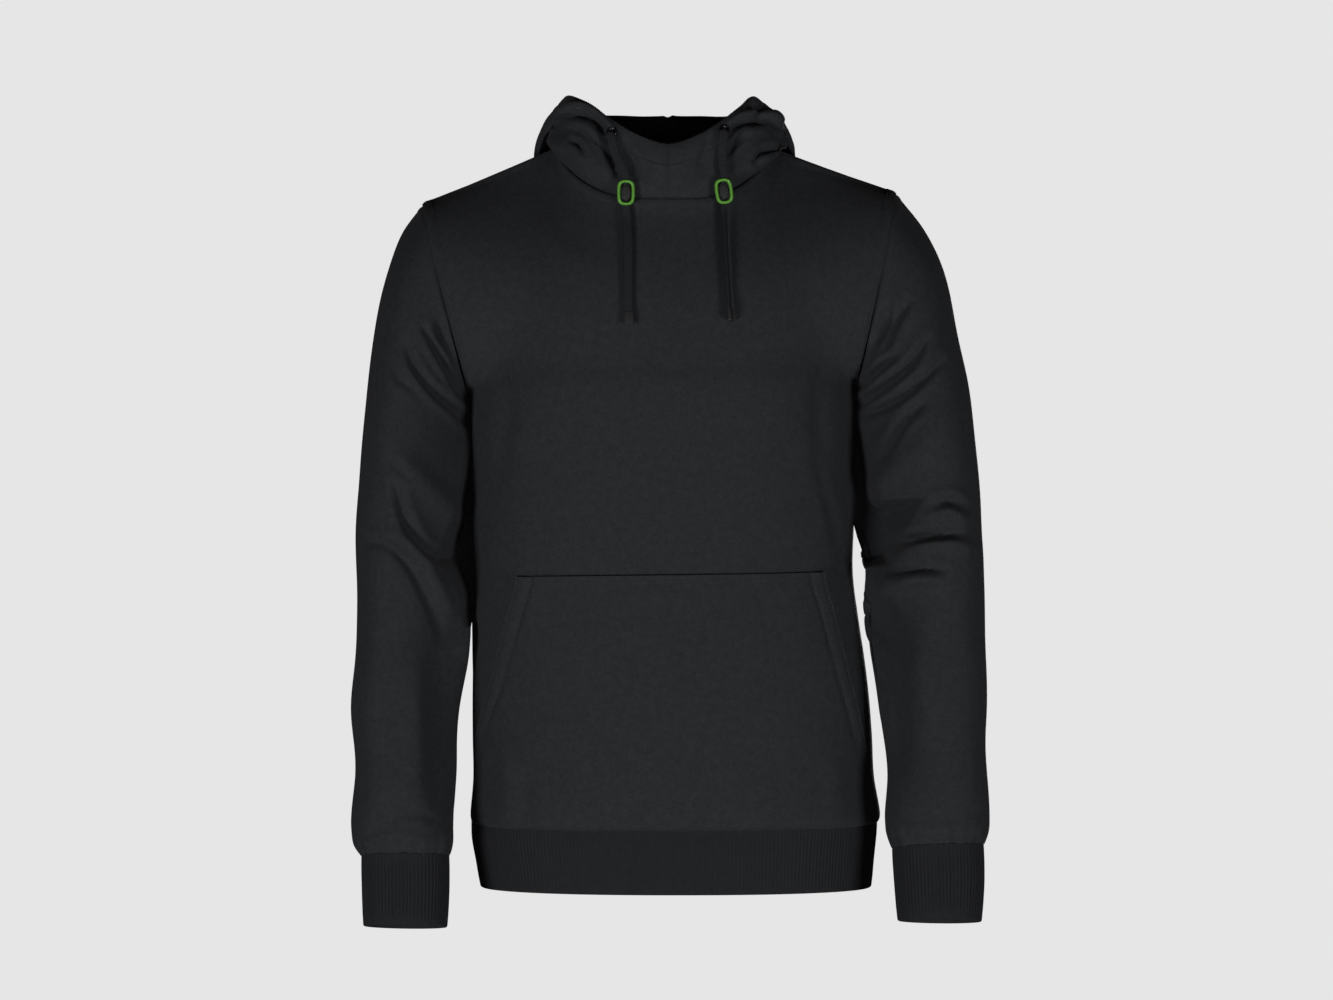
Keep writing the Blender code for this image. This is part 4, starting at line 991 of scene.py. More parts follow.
def panel_points(side):
    """The front's or the back's fine grid, its upper edges exactly on the shared seam lines."""
    across, along = FINE["panel"]
    points = finer(panel_grid(side), across, along)
    top = np.array([tuple(top_point(i / across, side)) for i in range(points.shape[1])])
    points[::-1][:along] += (fade_from_edge(along, 0.6 * along)[:, None, None]
                             * (top - points[-1]))
    for near, edge in (("right", points), ("left", points[:, ::-1])):
        exact = np.array([tuple(armhole_point(near, k / (YOKE_ROWS * along), FACING[side]))
                          for k in range(YOKE_ROWS * along + 1)])
        shift = exact - edge[YOKE:, 0]
        edge[YOKE:, :2 * across] += (fade_from_edge(2 * across, 2 * across)[None, :, None]
                                     * shift[:, None])
    return smoothed(points)


def smoothed(points):
    """Rounds the bends of the yoke that run down from the corners of the neckline."""
    across, along = FINE["panel"]
    rows, columns = points.shape[:2]
    from_side = np.minimum(np.arange(columns), np.arange(columns)[::-1]) / across
    from_top = np.arange(rows)[::-1] / along
    from_low = (np.arange(rows) - YOKE + 3 * along) / along
    keep = np.clip(from_side - 0.8, 0, 1) * (np.clip(from_top / 0.8, 0, 1)
                                             * np.clip(from_low / 3, 0, 1))[:, None]
    for _ in range(160):
        blurred = points.copy()
        blurred[:, 1:-1] = (points[:, :-2] + 2 * points[:, 1:-1] + points[:, 2:]) / 4
        points = points + keep[..., None] * (blurred - points)
    return points


def edge_distances(points):
    """How far each point of a grid is from its first row, its last row and its nearer side."""
    wide, tall = lengths(points, 1), lengths(points, 0)
    return tall, tall[-1:] - tall, np.minimum(wide, wide[:, -1:] - wide)


def panel_surface(side):
    """The panel's points with its folds, seams and swells, and the way each point faces."""
    points = panel_points(side)
    normals = normals_of(points, False, (0, FACING[side], 0))
    from_hem, from_top, from_sides = edge_distances(points)
    height = crease_heights(points, normals, CREASES[side + "_body"])
    height += unevenness(points, 0.11, 0.0008, 3 if side == "front" else 4)
    height += seam_dip(from_sides, 0.0009)
    height += seam_dip(from_top, 0.0004)
    height += seam_dip(from_hem, 0.0015, 0.0016)
    armhole = np.where(np.arange(points.shape[0])[:, None] >= YOKE, from_sides, 1.0)
    height += seam_allowance(armhole, 0.0012, 0.0080, 0.0007)
    height += seam_allowance(from_top, 0.0012, 0.0070, 0.0010)
    return displaced(points, normals, height), normals


def hood_row(side, degrees):
    """The hood's section at an angle; mirrored rows keep it level across centre front."""
    rows = HOODS[side]
    mirrored = 180 - abs(abs(degrees) - 180)
    return between((rows[1]._replace(degrees=-rows[1].degrees),) + rows, mirrored)


def hood_points(side):
    """Half of the hood's fine grid, from the neck seam to the edge of the face opening."""
    across, along = FINE["hood"]
    columns = []
    for step in range(-1, 2 * QUARTER_COLUMNS + 2):
        row = hood_row(side, step * HOOD_STEP)
        angle = math.radians(step * HOOD_STEP)
        seam, out = neck_point(angle, side), neck_outwards(angle, side)
        points = [seam]
        for part in ("stand", "turn", "fall", "far", "crest", "rim"):
            reach, height = getattr(row, part + "_out"), getattr(row, part + "_z")
            points.append(Vector((seam.x, seam.y, height)) + out * reach)
        columns.append(curve_through(points, HOOD_SPANS))
    points = finer([list(line) for line in zip(*columns)], across, along)[:, across:-across]
    steps = points.shape[1] - 1
    exact = np.array([tuple(neck_point(math.pi * i / steps, side)) for i in range(steps + 1)])
    points[:along] += fade_from_edge(along, along)[:, None, None] * (exact - points[0])
    points[:, (0, -1), 0] = -OUTWARDS[side] * CENTRE_LAP
    return points


def sleeve_points(side):
    """A sleeve's fine grid with its largest folds, from the armhole to the cuff."""
    across, along = FINE["sleeve"]
    rings = SLEEVE_RINGS * along
    around = AROUND * across
    points = np.array([[tuple(ring_point(ring, k / around)) for k in range(around)]
                       for ring in (between(SLEEVES[side], r / rings) for r in range(rings + 1))])
    normals = normals_of(points, True, (0, -1, 0))
    hollow = hollow_depths(points, normals, HOLLOWS["sleeve_" + side])
    folds = np.array([[fold_height(FOLDS[side], r / rings, k / around) for k in range(around)]
                      for r in range(rings + 1)])
    ends = np.minimum(np.arange(rings + 1), np.arange(rings, -1, -1)) / along
    points = points + normals * (folds * np.clip(ends, 0, 1)[:, None])[..., None]
    middle = points[..., 1].mean(axis=1, keepdims=True) + HOLLOW_LIMIT
    deepest = np.maximum(points[..., 1], middle)
    points[..., 1] = np.minimum(points[..., 1] + hollow, deepest)
    return points


def even_turns(make_point, count):
    """Turns from 0 to 1 whose points lie evenly round a closed line."""
    fine = 2400
    line = np.array([tuple(make_point(k / fine)) for k in range(fine + 1)])
    run = np.concatenate([[0], np.cumsum(np.linalg.norm(np.diff(line, axis=0), axis=-1))])
    turns = np.interp(np.linspace(0, run[-1], count + 1)[:-1], run, np.linspace(0, 1, fine + 1))
    return turns, run[-1]


def hem_point(section, turn):
    """A point round a section of the body: the front for half the turn, then the back."""
    if turn <= 0.5:
        return section_point(section, 2 * turn, "front")
    return section_point(section, 2 - 2 * turn, "back")


def rib_points(rows, make_point, height_of, samples):
    """A ribbed band: rounded ribs that run down it, its free edge turned in."""
    middle = between(rows, height_of(0.5))
    girth = even_turns(lambda turn: make_point(middle, turn), 12)[1]
    ribs = round(girth / RIB_PITCH)
    turns = even_turns(lambda turn: make_point(middle, turn), ribs * samples)[0]
    levels = np.arange(RIB_LEVELS + 1)
    sections = [between(rows, height_of(level / RIB_LEVELS)) for level in levels]
    grid = np.array([[tuple(make_point(section, turn)) for turn in turns] for section in sections])
    normals = normals_of(grid, True, (0, -1, 0))
    phase = np.arange(ribs * samples) * (2 * np.pi / samples)
    generator = np.random.default_rng(7)
    depth = RIB_DEPTH * (1 + 0.25 * np.repeat(generator.uniform(-1, 1, ribs), samples))
    profile = (np.sqrt(0.5 + 0.5 * np.cos(phase)) - 0.6) * depth
    ends = np.clip(np.minimum(levels, levels[::-1]) / 1.5, 0.25, 1)
    return displaced(grid, normals, ends[:, None] * profile), normals


# ---------------------------------------------------------------- stitches
Stitches = namedtuple("Stitches", "points normals")
STITCH_LINES = []
# How far along the stitch each ring is; its lift and its size, as parts of the thread's radius.
THREAD_RINGS = ((0, -0.2, 0.35), (0.22, 0.75, 1), (0.78, 0.75, 1), (1, -0.2, 0.35))


def stitch_ends(line, pitch):
    """The two ends and the normal of each stitch along a line."""
    run = np.concatenate([[0], np.cumsum(np.linalg.norm(np.diff(line.points, axis=0), axis=-1))])
    count = max(int(run[-1] / pitch), 1)
    starts = np.arange(count) * run[-1] / count + STITCH_GAP / 2
    ends = starts + run[-1] / count - STITCH_GAP

    def at(place, data):
        return np.stack([np.interp(place, run, data[:, k]) for k in range(3)], axis=-1)

    return at(starts, line.points), at(ends, line.points), unit(at(starts, line.normals))


def sew(name, lines, pitch, radius):
    """One mesh of all the stitches: each is a short thread, sunk at both ends."""
    corners, faces = [], []
    for line in lines:
        for start, end, normal in zip(*stitch_ends(line, pitch)):
            along = unit(end - start)
            side = np.cross(normal, along)
            base = len(corners)
            for part, lift, size in THREAD_RINGS:
                middle = start + (end - start) * part + normal * radius * lift
                for turn in range(THREAD_SIDES):
                    swing = 2 * math.pi * turn / THREAD_SIDES
                    corners.append(middle + radius * size * (math.cos(swing) * side
                                                             + math.sin(swing) * normal))
            for low in range(base, len(corners) - THREAD_SIDES, THREAD_SIDES):
                high = low + THREAD_SIDES
                for turn in range(THREAD_SIDES):
                    ahead = (turn + 1) % THREAD_SIDES
                    faces.append((low + turn, high + turn, high + ahead, low + ahead))
            faces.append(tuple(range(base, base + THREAD_SIDES)))
            faces.append(tuple(reversed(range(len(corners) - THREAD_SIDES, len(corners)))))
    mesh = bpy.data.meshes.new(name)
    mesh.from_pydata([tuple(corner) for corner in corners], [], faces)
    mesh.materials.append(the_finish("thread"))
    piece = bpy.data.objects.new(name, mesh)
    bpy.context.collection.objects.link(piece)
    select_only(piece)
    face_outwards()
    bpy.ops.object.shade_smooth_by_angle(angle=math.radians(60))
    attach(piece, "root")


# ---------------------------------------------------------------- settings
class HoodieCloth(bpy.types.PropertyGroup):
    colour: bpy.props.FloatVectorProperty(
        name="Cloth colour", description="Base colour of the brushed knit", subtype="COLOR",
        size=3, min=0, max=1, default=(0.0204, 0.0215, 0.0243))
    thickness: bpy.props.FloatProperty(
        name="Cloth thickness", description="Thickness of the knit at a cut edge",
        default=0.0022, min=0.001, max=0.003, unit="LENGTH")
    stitch_pitch: bpy.props.FloatProperty(
        name="Stitch pitch", description="Length of one stitch of the topstitching",
        default=0.0030, min=0.001, max=0.006, unit="LENGTH")


class HoodieTrim(bpy.types.PropertyGroup):
    lock_colour: bpy.props.FloatVectorProperty(
        name="Lock colour", description="Colour of the cord locks", subtype="COLOR",
        size=3, min=0, max=1, default=(0.115, 0.345, 0.040))
    cord_width: bpy.props.FloatProperty(
        name="Cord width", description="Width of the flat braid", default=0.0080,
        min=0.003, max=0.012, unit="LENGTH")
    cord_thickness: bpy.props.FloatProperty(
        name="Cord thickness", description="Thickness of the flat braid", default=0.0020,
        min=0.001, max=0.004, unit="LENGTH")


class HoodieStage(bpy.types.PropertyGroup):
    backdrop: bpy.props.FloatProperty(
        name="Backdrop brightness", description="How bright the plain backdrop is",
        default=0.79, min=0, max=1)
    left_power: bpy.props.FloatProperty(
        name="Left light", description="Power of the soft light from the left front",
        default=102, min=0, max=2000, unit="POWER")
    right_power: bpy.props.FloatProperty(
        name="Right light", description="Power of the soft light from the right front",
        default=80, min=0, max=2000, unit="POWER")
    front_power: bpy.props.FloatProperty(
        name="Front light", description="Power of the weak light near the camera",
        default=16, min=0, max=2000, unit="POWER")


# ---------------------------------------------------------------- helpers of the pieces
def inset_line(points, normals, edge, distance, rows=slice(None)):
    """Points and normals at a distance from one edge of a grid, for the rows or columns given."""
    axis = 1 if edge in BOTH_SIDES else 0
    if edge in ("last column", "last row"):
        points, normals = np.flip(points, axis), np.flip(normals, axis)
    if axis == 0:
        points, normals = points.swapaxes(0, 1), normals.swapaxes(0, 1)
    points, normals = points[rows], normals[rows]
    run = lengths(points, 1)
    found = [[[np.interp(distance, line_run, line[:, k]) for k in range(3)]
              for line_run, line in zip(run, data)] for data in (points, normals)]
    return np.array(found[0]), unit(np.array(found[1]))


def topstitch(points, normals, edges, distances, rows=slice(None)):
    """Remembers lines of stitching beside a piece's edges, to be sewn when the cloth is done."""
    for edge in edges:
        for distance in distances:
            STITCH_LINES.append(Stitches(*inset_line(points, normals, edge, distance, rows)))


def sheet_facts(points):
    area = flat_area(points)


# ---------------------------------------------------------------- the pieces
Cut = namedtuple("Cut", "width length")


def make_panel(side):
    """The front or the back, with the stitched rows round its armholes, neck and hem."""
    name = side + "_body"
    points, normals = panel_surface(side)
    piece = cloth_piece(name, points, normals, "sweatshirt_knit")
    sheet_facts(points)
    neck = slice(SIDE_COLUMNS * FINE["panel"][0], (COLUMNS - SIDE_COLUMNS) * FINE["panel"][0] + 1)
    topstitch(points, normals, BOTH_SIDES, ARMHOLE_ROWS, slice(YOKE, None))
    topstitch(points, normals, ["last row"], NECK_ROWS, neck)
    topstitch(points, normals, ["first row"], [HEM_ROW])


def make_pocket():
    """A patch that lies on the front, a little open at the lower part of its slanted sides."""
    across, along = FINE["panel"]
    points, normals = panel_surface("front")
    rows = BODY_LEVELS.index(POCKET_TOP_Z) * along + 1
    columns = slice(POCKET_FIRST * across, (COLUMNS - POCKET_FIRST) * across + 1)
    points, normals = points[:rows, columns], normals[:rows, columns]
    tall, from_top, from_sides = edge_distances(points)
    opening = np.clip((tall - 0.060) / 0.030, 0, 1)
    height = POCKET_LIFT + POCKET_GAPE * opening * np.exp(-(from_sides / 0.012) ** 2)
    height += 0.0004 * np.exp(-(from_top / 0.006) ** 2) - 0.0006 * np.exp(-(tall / 0.003) ** 2)
    height += unevenness(points, 0.06, 0.0005, 11)
    height += seam_dip(from_top - POCKET_TOP_ROWS[1], 0.0008, 0.0015)
    height += seam_dip(from_sides - POCKET_SIDE_ROWS[0], 0.0009 * opening, 0.0012)
    height += seam_dip(from_sides - POCKET_SIDE_ROWS[1], 0.0016 * opening, 0.0017)
    moved = displaced(points, normals, height)
    piece = cloth_piece("pocket", moved, normals, "sweatshirt_knit", extra=0.0001)
    sheet_facts(moved)
    topstitch(moved, normals, ["last row"], POCKET_TOP_ROWS)
    topstitch(moved, normals, BOTH_SIDES, POCKET_SIDE_ROWS, slice(int(rows * POCKET_SHUT), None))


def make_sleeve(side):
    """A sleeve: its creases, the cloth gathered into the cuff, and its lean on the body."""
    name = "sleeve_" + side
    points = sleeve_points(side)
    normals = normals_of(points, True, (0, -1, 0))
    tall = lengths(points, 0)
    from_cuff = tall[-1:] - tall
    height = crease_heights(points, normals, CREASES[name])
    height += unevenness(points, 0.09, 0.0010, 5 if side == "right" else 6)
    height *= np.clip(np.minimum(tall, from_cuff) / 0.020, 0, 1)
    height += seam_dip(tall, 0.0012) + seam_dip(from_cuff, 0.0016)
    turn = np.linspace(0, 2 * np.pi, points.shape[1], endpoint=False)
    generator = np.random.default_rng(21 if side == "right" else 22)
    gathers = sum(generator.uniform(0.5, 1) * np.sin(turn * count + generator.uniform(0, 6.3))
                  for count in GATHER_COUNTS)
    inside = np.exp(-(np.minimum(turn, 2 * np.pi - turn) / BULGE_REACH) ** 2)
    place = np.linspace(0, 1, points.shape[0])[:, None]
    height += (BULGE * inside * np.clip(place / BULGE_FADE, 0, 1)
               * np.clip((BULGE_END[side] - place) / BULGE_FADE, 0, 1))
    height += 0.00045 * gathers * np.exp(-(from_cuff / 0.022) ** 2)
    height += seam_allowance(tall, 0.0012, 0.0070, 0.0004)
    moved = displaced(points, normals, height)
    piece = cloth_piece(name, moved, normals, "sweatshirt_knit", closed=True)
    looped = ring_closed(moved)
    sheet_facts(looped)
    topstitch(looped, ring_closed(normals), ["last row"], [CUFF_ROW])


def make_hood(side):
    """Half of the hood, which lies down with its face opening to the front."""
    name = "hood_" + side
    across, along = FINE["hood"]
    points = hood_points(side)
    normals = normals_of(points, False, (0, -1, 0))
    if np.dot(normals[3 * along, 5 * across], neck_outwards(math.radians(75), side)) < 0:
        normals = -normals
    tall, from_rim, from_seams = edge_distances(points)
    height = crease_heights(points, normals, CREASES[name])
    height += unevenness(points, 0.05, 0.0009, 31 if side == "right" else 32)
    height *= np.clip(np.minimum(tall, from_rim) / 0.008, 0, 1) * np.clip(from_seams / 0.004, 0, 1)
    from_eyelet = np.linalg.norm(points - np.array(CORD_ROUTES[side][0]), axis=-1)
    height *= 1 - np.exp(-(from_eyelet / EYELET_CLEARING) ** 2)
    height += seam_dip(from_seams, 0.0010) + seam_dip(tall, 0.0012)
    height += seam_allowance(from_seams, 0.0010, 0.0050, 0.0005)
    height += seam_dip(from_rim - CASING_ROW, 0.0006, 0.0013)
    height += seam_dip(from_rim, 0.0010, 0.0015)
    moved = displaced(points, normals, height)
    piece = cloth_piece(name, moved, normals, "sweatshirt_knit", extra=0.0002)
    sheet_facts(moved)
    topstitch(moved, normals, ["last row"], [CASING_ROW])
    topstitch(moved, normals, BOTH_SIDES, [HOOD_CENTRE_ROW])
    topstitch(moved, normals, ["last row"], [HOOD_EDGE_ROW], slice(len(points)))


def make_band(name, rows, make_point, height_of, samples):
    """A ribbed band with a rounded free edge and its two layers closed at the join."""
    outer, normals = rib_points(rows, make_point, height_of, samples)
    outer[0, :, 2] += RIB_TUCK
    radius = RIB_THICKNESS / 2
    down = unit(outer[-1] - outer[-2])
    curl = [outer[-1] - normals[-1] * radius * (1 - math.cos(swing))
            + down * radius * math.sin(swing)
            for swing in np.linspace(0, math.pi, 6)[1:-1]]
    full = np.concatenate([outer, np.array(curl), (outer - normals * RIB_THICKNESS)[::-1]])
    facing = np.concatenate([normals, normals[-1:].repeat(len(curl), axis=0), -normals[::-1]])
    piece = cloth_piece(name, full, facing, "rib_knit", closed=True, bridged=True)
    sheet_facts(ring_closed(outer))


def make_hem():
    """The folded rib round the bottom of the body."""
    make_band("hem_band", HEM, hem_point, lambda part: mix(HEM[-1].z, HEM[0].z, part), 5)


def make_cuff(side):
    """The folded rib at the end of a sleeve."""
    make_band("cuff_" + side, CUFFS[side], ring_point, lambda part: part, 6)


# ---------------------------------------------------------------- cord, locks and eyelets
CORD_WIDE_WAY = {             # which way the flat of each cord faces at its points
    "right": ((0.0, -1.0, 0.0),) * 14,
    "left": ((0.2, -1.0, 0.0),) * 6 + ((0.1, -1.0, 0.0), (0.45, -0.9, 0.0), (0.82, -0.57, 0.0))
            + ((0.93, -0.37, 0.0),) * 5,
}
LOCK_PLACE = 6
LOCK_SIZE = (0.0166, 0.0242, 0.0080)
LOCK_HOLE = (0.0104, 0.0148)
LOCK_SQUARENESS = 0.07        # how much fuller the ring is at its corners
LOCK_STRAIGHT = 1.8           # how soon its sides run straight
CORE_PARTS = ((-0.0002, 0.0040, 0.0008), (0.0013, 0.0062, 0.0))     # margin, depth, how far back
LOCK_TURN = {"right": 0.0, "left": math.radians(-8)}
EYELET_FACING = {"right": Vector((-0.18, -0.96, 0.22)), "left": Vector((0.28, -0.91, 0.30))}
EYELET_RADIUS = 0.0038        # to the middle of its wire
EYELET_WIRE = 0.0012
EYELET_FLATNESS = 0.75
EYELET_LIFT = 0.0004
TIP_SIZE = (0.0085, 0.0030, 0.0128)


def apply_place():
    """Puts the selected pieces' place, turn and scale into their meshes."""
    bpy.ops.object.transform_apply(location=True, rotation=True, scale=True)


def soften(piece, width, segments):
    """Rounds the edges of the active piece."""
    bevel = piece.modifiers.new("Soft edge", "BEVEL")
    bevel.width = width
    bevel.segments = segments
    bpy.ops.object.modifier_apply(modifier=bevel.name)


def settle(piece, node, slot):
    """Puts a modelled piece's place into its mesh, names it and joins it to the frame."""
    piece.name = node + SHOWN
    select_only(piece)
    apply_place()
    face_outwards()
    piece.data.materials.append(the_finish(slot))
    join_frame(piece, node, 50)


def cord_line(side):
    """The middle of a cord, from its eyelet to its tip."""
    points = [Vector(point) for point in CORD_ROUTES[side]]
    return curve_through(points, [10] * (len(points) - 1))


def make_cord(side):
    """The flat braid: a ribbon with rounded edges, its ridged strands in the surface."""
    trim = bpy.context.scene.hoodie_trim
    line = cord_line(side)
    ways = [Vector(way).normalized() for way in CORD_WIDE_WAY[side]]
    facing = curve_through(ways, [10] * (len(ways) - 1))
    around, wide, thick = 20, trim.cord_width / 2, trim.cord_thickness / 2
    rings = []
    run = 0.0
    for k, point in enumerate(line):
        along = (line[min(k + 1, len(line) - 1)] - line[max(k - 1, 0)]).normalized()
        across = along.cross(facing[k]).normalized()
        out = across.cross(along).normalized()
        run += (point - line[k - 1]).length if k else 0
        squeeze = 1 - 0.30 * math.exp(-((k - 10 * LOCK_PLACE) / 14) ** 2)
        narrow = mix(0.35, 1, smoothstep(run / 0.009)) * squeeze
        ring = []
        for turn in range(around):
            swing = 2 * math.pi * turn / around
            cosine, sine = math.cos(swing), math.sin(swing)
            braid = 0.00012 * math.sin(run * 2100 + 6 * abs(cosine))
            ring.append(point + across * (wide * narrow * math.copysign(abs(cosine) ** 0.8, cosine))
                        + out * ((thick + braid) * math.copysign(abs(sine) ** 0.6, sine)))
        rings.append(ring)
    grid = np.array([[tuple(point) for point in ring] for ring in rings])
    mesh = cloth_mesh("drawcord_" + side, grid, closed=True)
    piece = bpy.data.objects.new("drawcord_" + side + SHOWN, mesh)
    bpy.context.collection.objects.link(piece)
    select_only(piece)
    bpy.ops.object.mode_set(mode="EDIT")
    bpy.ops.mesh.select_all(action="DESELECT")
    bpy.ops.mesh.select_non_manifold(extend=False)
    bpy.ops.mesh.fill_holes(sides=around)
    bpy.ops.object.mode_set(mode="OBJECT")
    face_outwards()
    mesh.materials.append(the_finish("cord_braid"))
    join_frame(piece, "drawcord_" + side, 70)


def make_lock(side):
    """The oval lock: a rounded green ring, and the dark spring core the cord runs through."""
    place = Vector(CORD_ROUTES[side][LOCK_PLACE])
    select_none()
    rim = (LOCK_SIZE[0] - LOCK_HOLE[0]) / 4
    bpy.ops.mesh.primitive_torus_add(
        major_segments=64, minor_segments=24, major_radius=LOCK_SIZE[0] / 2 - rim,
        minor_radius=rim, location=(0, 0, 0), rotation=(math.pi / 2, 0, 0))
    ring = bpy.context.object
    apply_place()
    stretch = (LOCK_SIZE[1] - LOCK_SIZE[0]) / 2
    bpy.ops.object.mode_set(mode="EDIT")
    shape = bmesh.from_edit_mesh(ring.data)
    for corner in shape.verts:
        corner.co.y *= LOCK_SIZE[2] / (2 * rim)
        squareness = 2 * corner.co.x * corner.co.z / (corner.co.x ** 2 + corner.co.z ** 2)
        corner.co.x *= 1 + LOCK_SQUARENESS * squareness ** 2
        corner.co.z *= 1 + LOCK_SQUARENESS * squareness ** 2
        part = LOCK_STRAIGHT * corner.co.z / (LOCK_SIZE[0] / 2)
        corner.co.z += stretch * math.sin(math.pi / 2 * max(-1, min(1, part)))
    bmesh.update_edit_mesh(ring.data)
    bpy.ops.object.mode_set(mode="OBJECT")
    ring.rotation_euler = (0, LOCK_TURN[side], 0)
    ring.location = place
    settle(ring, "cord_lock_" + side, "green_plastic")
    parts = []
    for margin, depth, back in CORE_PARTS:
        select_none()
        bpy.ops.mesh.primitive_cylinder_add(vertices=48, radius=0.5, depth=1,
                                            rotation=(math.pi / 2, 0, 0))
        part = bpy.context.object
        apply_place()
        part.scale = (LOCK_HOLE[0] - 2 * margin, depth, LOCK_HOLE[1] - 2 * margin)
        part.location = (0, back, 0)
        apply_place()
        soften(part, 0.0010, 4)
        parts.append(part)
    select_only(parts[1])
    parts[0].select_set(True)
    bpy.ops.object.join()
    core = bpy.context.object
    core.rotation_euler = (0, LOCK_TURN[side], 0)
    core.location = place
    settle(core, "lock_core_" + side, "black_plastic")


def make_tip(side):
    """The crimped sleeve on the end of a cord."""
    end, before = (Vector(point) for point in CORD_ROUTES[side][:-3:-1])
    along = (end - before).normalized()
    select_none()
    bpy.ops.mesh.primitive_cube_add(size=1)
    tip = bpy.context.object
    tip.dimensions = TIP_SIZE
    apply_place()
    soften(tip, 0.0009, 3)
    tip.rotation_mode = "QUATERNION"
    across = along.cross(Vector(CORD_WIDE_WAY[side][-1])).normalized()
    out = across.cross(along).normalized()
    tip.rotation_quaternion = Matrix((across, -out, -along)).transposed().to_quaternion()
    tip.location = end + along * TIP_SIZE[2] * 0.48
    settle(tip, "cord_tip_" + side, "black_plastic")


def make_eyelet(side):
    """The metal ring that a cord comes out of."""
    facing = EYELET_FACING[side].normalized()
    select_none()
    bpy.ops.mesh.primitive_torus_add(major_segments=48, minor_segments=16,
                                     major_radius=EYELET_RADIUS, minor_radius=EYELET_WIRE)
    ring = bpy.context.object
    ring.scale = (1, 1, EYELET_FLATNESS)
    ring.rotation_mode = "QUATERNION"
    ring.rotation_quaternion = facing.to_track_quat("Z", "Y")
    ring.location = Vector(CORD_ROUTES[side][0]) + facing * EYELET_LIFT
    settle(ring, "eyelet_" + side, "dark_metal")


# ---------------------------------------------------------------- studio
CAMERA_PLACE = Vector((-0.0014, -4.5, -0.323))
CAMERA_LENS = 127.95
FLOOR_Z = -1.05
LIGHTS_AIM = Vector((0, 0, -0.42))
BACK_POWER = 150.0
AIR_STRENGTH = 0.015
BOWL_PROFILE = ((5.6, 0.0), (6.2, 0.05), (6.7, 0.25), (7.1, 0.65), (7.3, 1.2), (7.3, 6.0))


def make_studio():
    """The backdrop, the air, the lights and the camera."""
    stage = bpy.context.scene.hoodie_stage
    select_none()
    bpy.ops.mesh.primitive_circle_add(vertices=96, radius=BOWL_PROFILE[0][0], fill_type="NGON",
                                      location=(0, 0, FLOOR_Z))
    bowl = bpy.context.object
    bowl.name = "Backdrop"
    apply_place()
    bpy.ops.object.mode_set(mode="EDIT")
    shape = bmesh.from_edit_mesh(bowl.data)
    edges = shape.edges[:]
    for (low, base), (radius, height) in zip(BOWL_PROFILE, BOWL_PROFILE[1:]):
        grown = bmesh.ops.extrude_edge_only(shape, edges=edges)["geom"]
        edges = [part for part in grown if isinstance(part, bmesh.types.BMEdge)]
        for corner in (part for part in grown if isinstance(part, bmesh.types.BMVert)):
            corner.co.x *= radius / low
            corner.co.y *= radius / low
            corner.co.z += height - base
    bmesh.update_edit_mesh(bowl.data)
    bpy.ops.object.mode_set(mode="OBJECT")
    bpy.ops.object.shade_smooth_by_angle(angle=math.radians(60))
    paper = bpy.data.materials.new("Backdrop paper")
    paper.use_nodes = True
    nodes, links = paper.node_tree.nodes, paper.node_tree.links
    glow = nodes.new("ShaderNodeEmission")
    glow.inputs["Color"].default_value = (stage.backdrop,) * 3 + (1,)
    links.new(glow.outputs["Emission"], nodes["Material Output"].inputs["Surface"])
    bowl.data.materials.append(paper)
    bowl.visible_diffuse = False
    bowl.visible_glossy = False
    bowl.visible_shadow = False
    world = bpy.data.worlds.new("Studio air")
    bpy.context.scene.world = world
    world.use_nodes = True
    world.node_tree.nodes["Background"].inputs["Color"].default_value = (1, 1, 1, 1)
    world.node_tree.nodes["Background"].inputs["Strength"].default_value = AIR_STRENGTH
    for name, place, size, power in (
            ("Left light", Vector((-2.5, -3.5, -1.55)), 1.1, stage.left_power),
            ("Right light", Vector((2.7, -3.3, -1.55)), 1.1, stage.right_power),
            ("Front light", Vector((0.0, -4.6, -1.0)), 0.8, stage.front_power),
            ("Back light", Vector((0.5, 4.4, -0.5)), 1.8, BACK_POWER)):
        select_none()
        bpy.ops.object.light_add(type="AREA", location=place)
        light = bpy.context.object
        light.name = name
        light.data.shape = "SQUARE"
        light.data.size = size
        light.data.energy = power
        light.rotation_mode = "QUATERNION"
        light.rotation_quaternion = (LIGHTS_AIM - place).to_track_quat("-Z", "Y")
    select_none()
    bpy.ops.object.camera_add(location=CAMERA_PLACE, rotation=(math.pi / 2, 0, 0))
    camera = bpy.context.object
    camera.name = "Front camera"
    camera.data.lens = CAMERA_LENS
    camera.data.sensor_width = 36
    camera.data.clip_end = 60
    bpy.context.scene.camera = camera
    scene = bpy.context.scene
    scene.view_settings.view_transform = "Standard"
    scene.view_settings.look = "None"


# ---------------------------------------------------------------- operators
class MakeBodyPanels(bpy.types.Operator):
    """Make the front and the back of the body"""
    bl_idname = "hoodie.body_panels"
    bl_label = "Body panels"

    def execute(self, context):
        for side in ("front", "back"):
            make_panel(side)
        return {"FINISHED"}


class MakePocket(bpy.types.Operator):
    """Make the kangaroo pocket that lies on the front"""
    bl_idname = "hoodie.pocket"
    bl_label = "Pocket"

    def execute(self, context):
        make_pocket()
        return {"FINISHED"}


class MakeSleeves(bpy.types.Operator):
    """Make both sleeves with their creases"""
    bl_idname = "hoodie.sleeves"
    bl_label = "Sleeves"

    def execute(self, context):
        for side in SIDES:
            make_sleeve(side)
        return {"FINISHED"}


class MakeRibs(bpy.types.Operator):
    """Make the ribbed hem band and cuffs"""
    bl_idname = "hoodie.ribs"
    bl_label = "Hem and cuffs"

    def execute(self, context):
        make_hem()
        for side in SIDES:
            make_cuff(side)
        return {"FINISHED"}


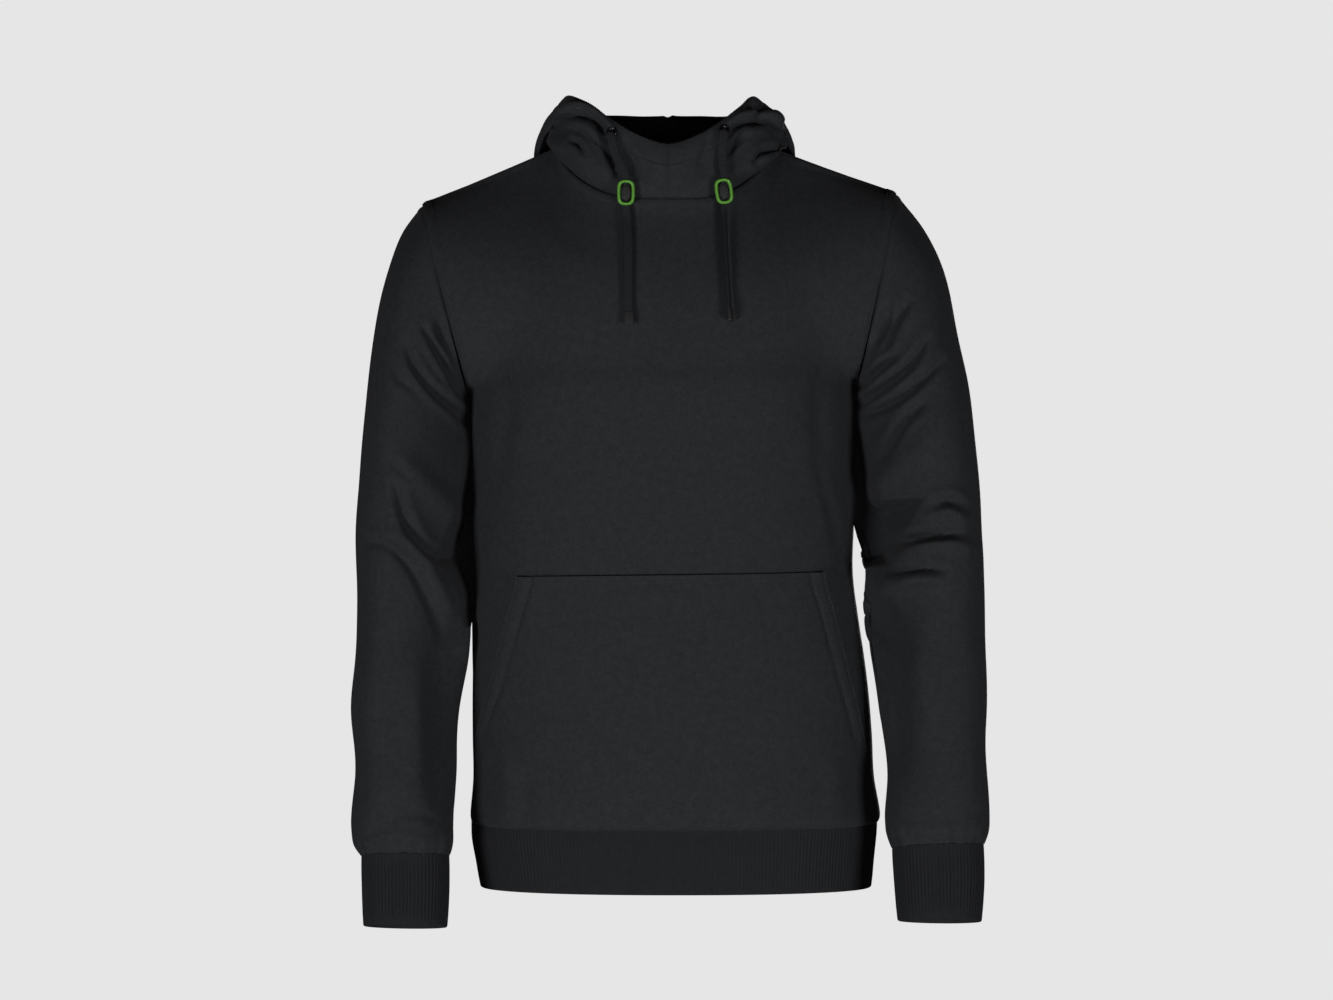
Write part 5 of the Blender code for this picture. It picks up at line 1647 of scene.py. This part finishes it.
class MakeHood(bpy.types.Operator):
    """Make the two halves of the hood"""
    bl_idname = "hoodie.hood"
    bl_label = "Hood"

    def execute(self, context):
        for side in SIDES:
            make_hood(side)
        return {"FINISHED"}


class SewStitches(bpy.types.Operator):
    """Sew the topstitching along the seams"""
    bl_idname = "hoodie.stitches"
    bl_label = "Topstitching"

    def execute(self, context):
        if not STITCH_LINES:
            raise RuntimeError("make the cloth pieces before the stitching")
        pitch = context.scene.hoodie_cloth.stitch_pitch
        sew("topstitching", STITCH_LINES, pitch, THREAD_RADIUS)
        STITCH_LINES.clear()
        return {"FINISHED"}


class MakeTrim(bpy.types.Operator):
    """Make the eyelets, cord locks, tips and drawcords"""
    bl_idname = "hoodie.trim"
    bl_label = "Drawcords and locks"

    def execute(self, context):
        for side in SIDES:
            make_eyelet(side)
            make_lock(side)
            make_tip(side)
            make_cord(side)
        return {"FINISHED"}


class SetStage(bpy.types.Operator):
    """Set up the backdrop, the lights and the camera"""
    bl_idname = "hoodie.stage"
    bl_label = "Stage"

    def execute(self, context):
        make_studio()
        return {"FINISHED"}


class HoodiePanel(bpy.types.Panel):
    bl_idname = "VIEW3D_PT_hoodie"
    bl_label = "Pullover hoodie"
    bl_space_type = "VIEW_3D"
    bl_region_type = "UI"
    bl_category = "Hoodie"

    def draw(self, context):
        layout = self.layout
        for title, settings in (("Cloth", context.scene.hoodie_cloth),
                                ("Trim", context.scene.hoodie_trim),
                                ("Stage", context.scene.hoodie_stage)):
            box = layout.box()
            box.label(text=title)
            for name in settings.__annotations__:
                box.prop(settings, name)
        for operator in OPERATORS:
            layout.operator(operator.bl_idname)


OPERATORS = (MakeBodyPanels, MakePocket, MakeSleeves, MakeRibs, MakeHood, SewStitches,
             MakeTrim, SetStage)
SETTINGS = {"hoodie_cloth": HoodieCloth, "hoodie_trim": HoodieTrim, "hoodie_stage": HoodieStage}


def register():
    for made in (*SETTINGS.values(), *OPERATORS, HoodiePanel):
        bpy.utils.register_class(made)
    for name, kind in SETTINGS.items():
        setattr(bpy.types.Scene, name, bpy.props.PointerProperty(type=kind))


def unregister():
    for name in SETTINGS:
        delattr(bpy.types.Scene, name)
    for made in reversed((*SETTINGS.values(), *OPERATORS, HoodiePanel)):
        bpy.utils.unregister_class(made)


def main():
    register()
    bpy.ops.hoodie.body_panels()
    bpy.ops.hoodie.pocket()
    bpy.ops.hoodie.sleeves()
    bpy.ops.hoodie.ribs()
    bpy.ops.hoodie.hood()
    bpy.ops.hoodie.stitches()
    bpy.ops.hoodie.trim()
    bpy.ops.hoodie.stage()


if __name__ == "__main__":
    main()
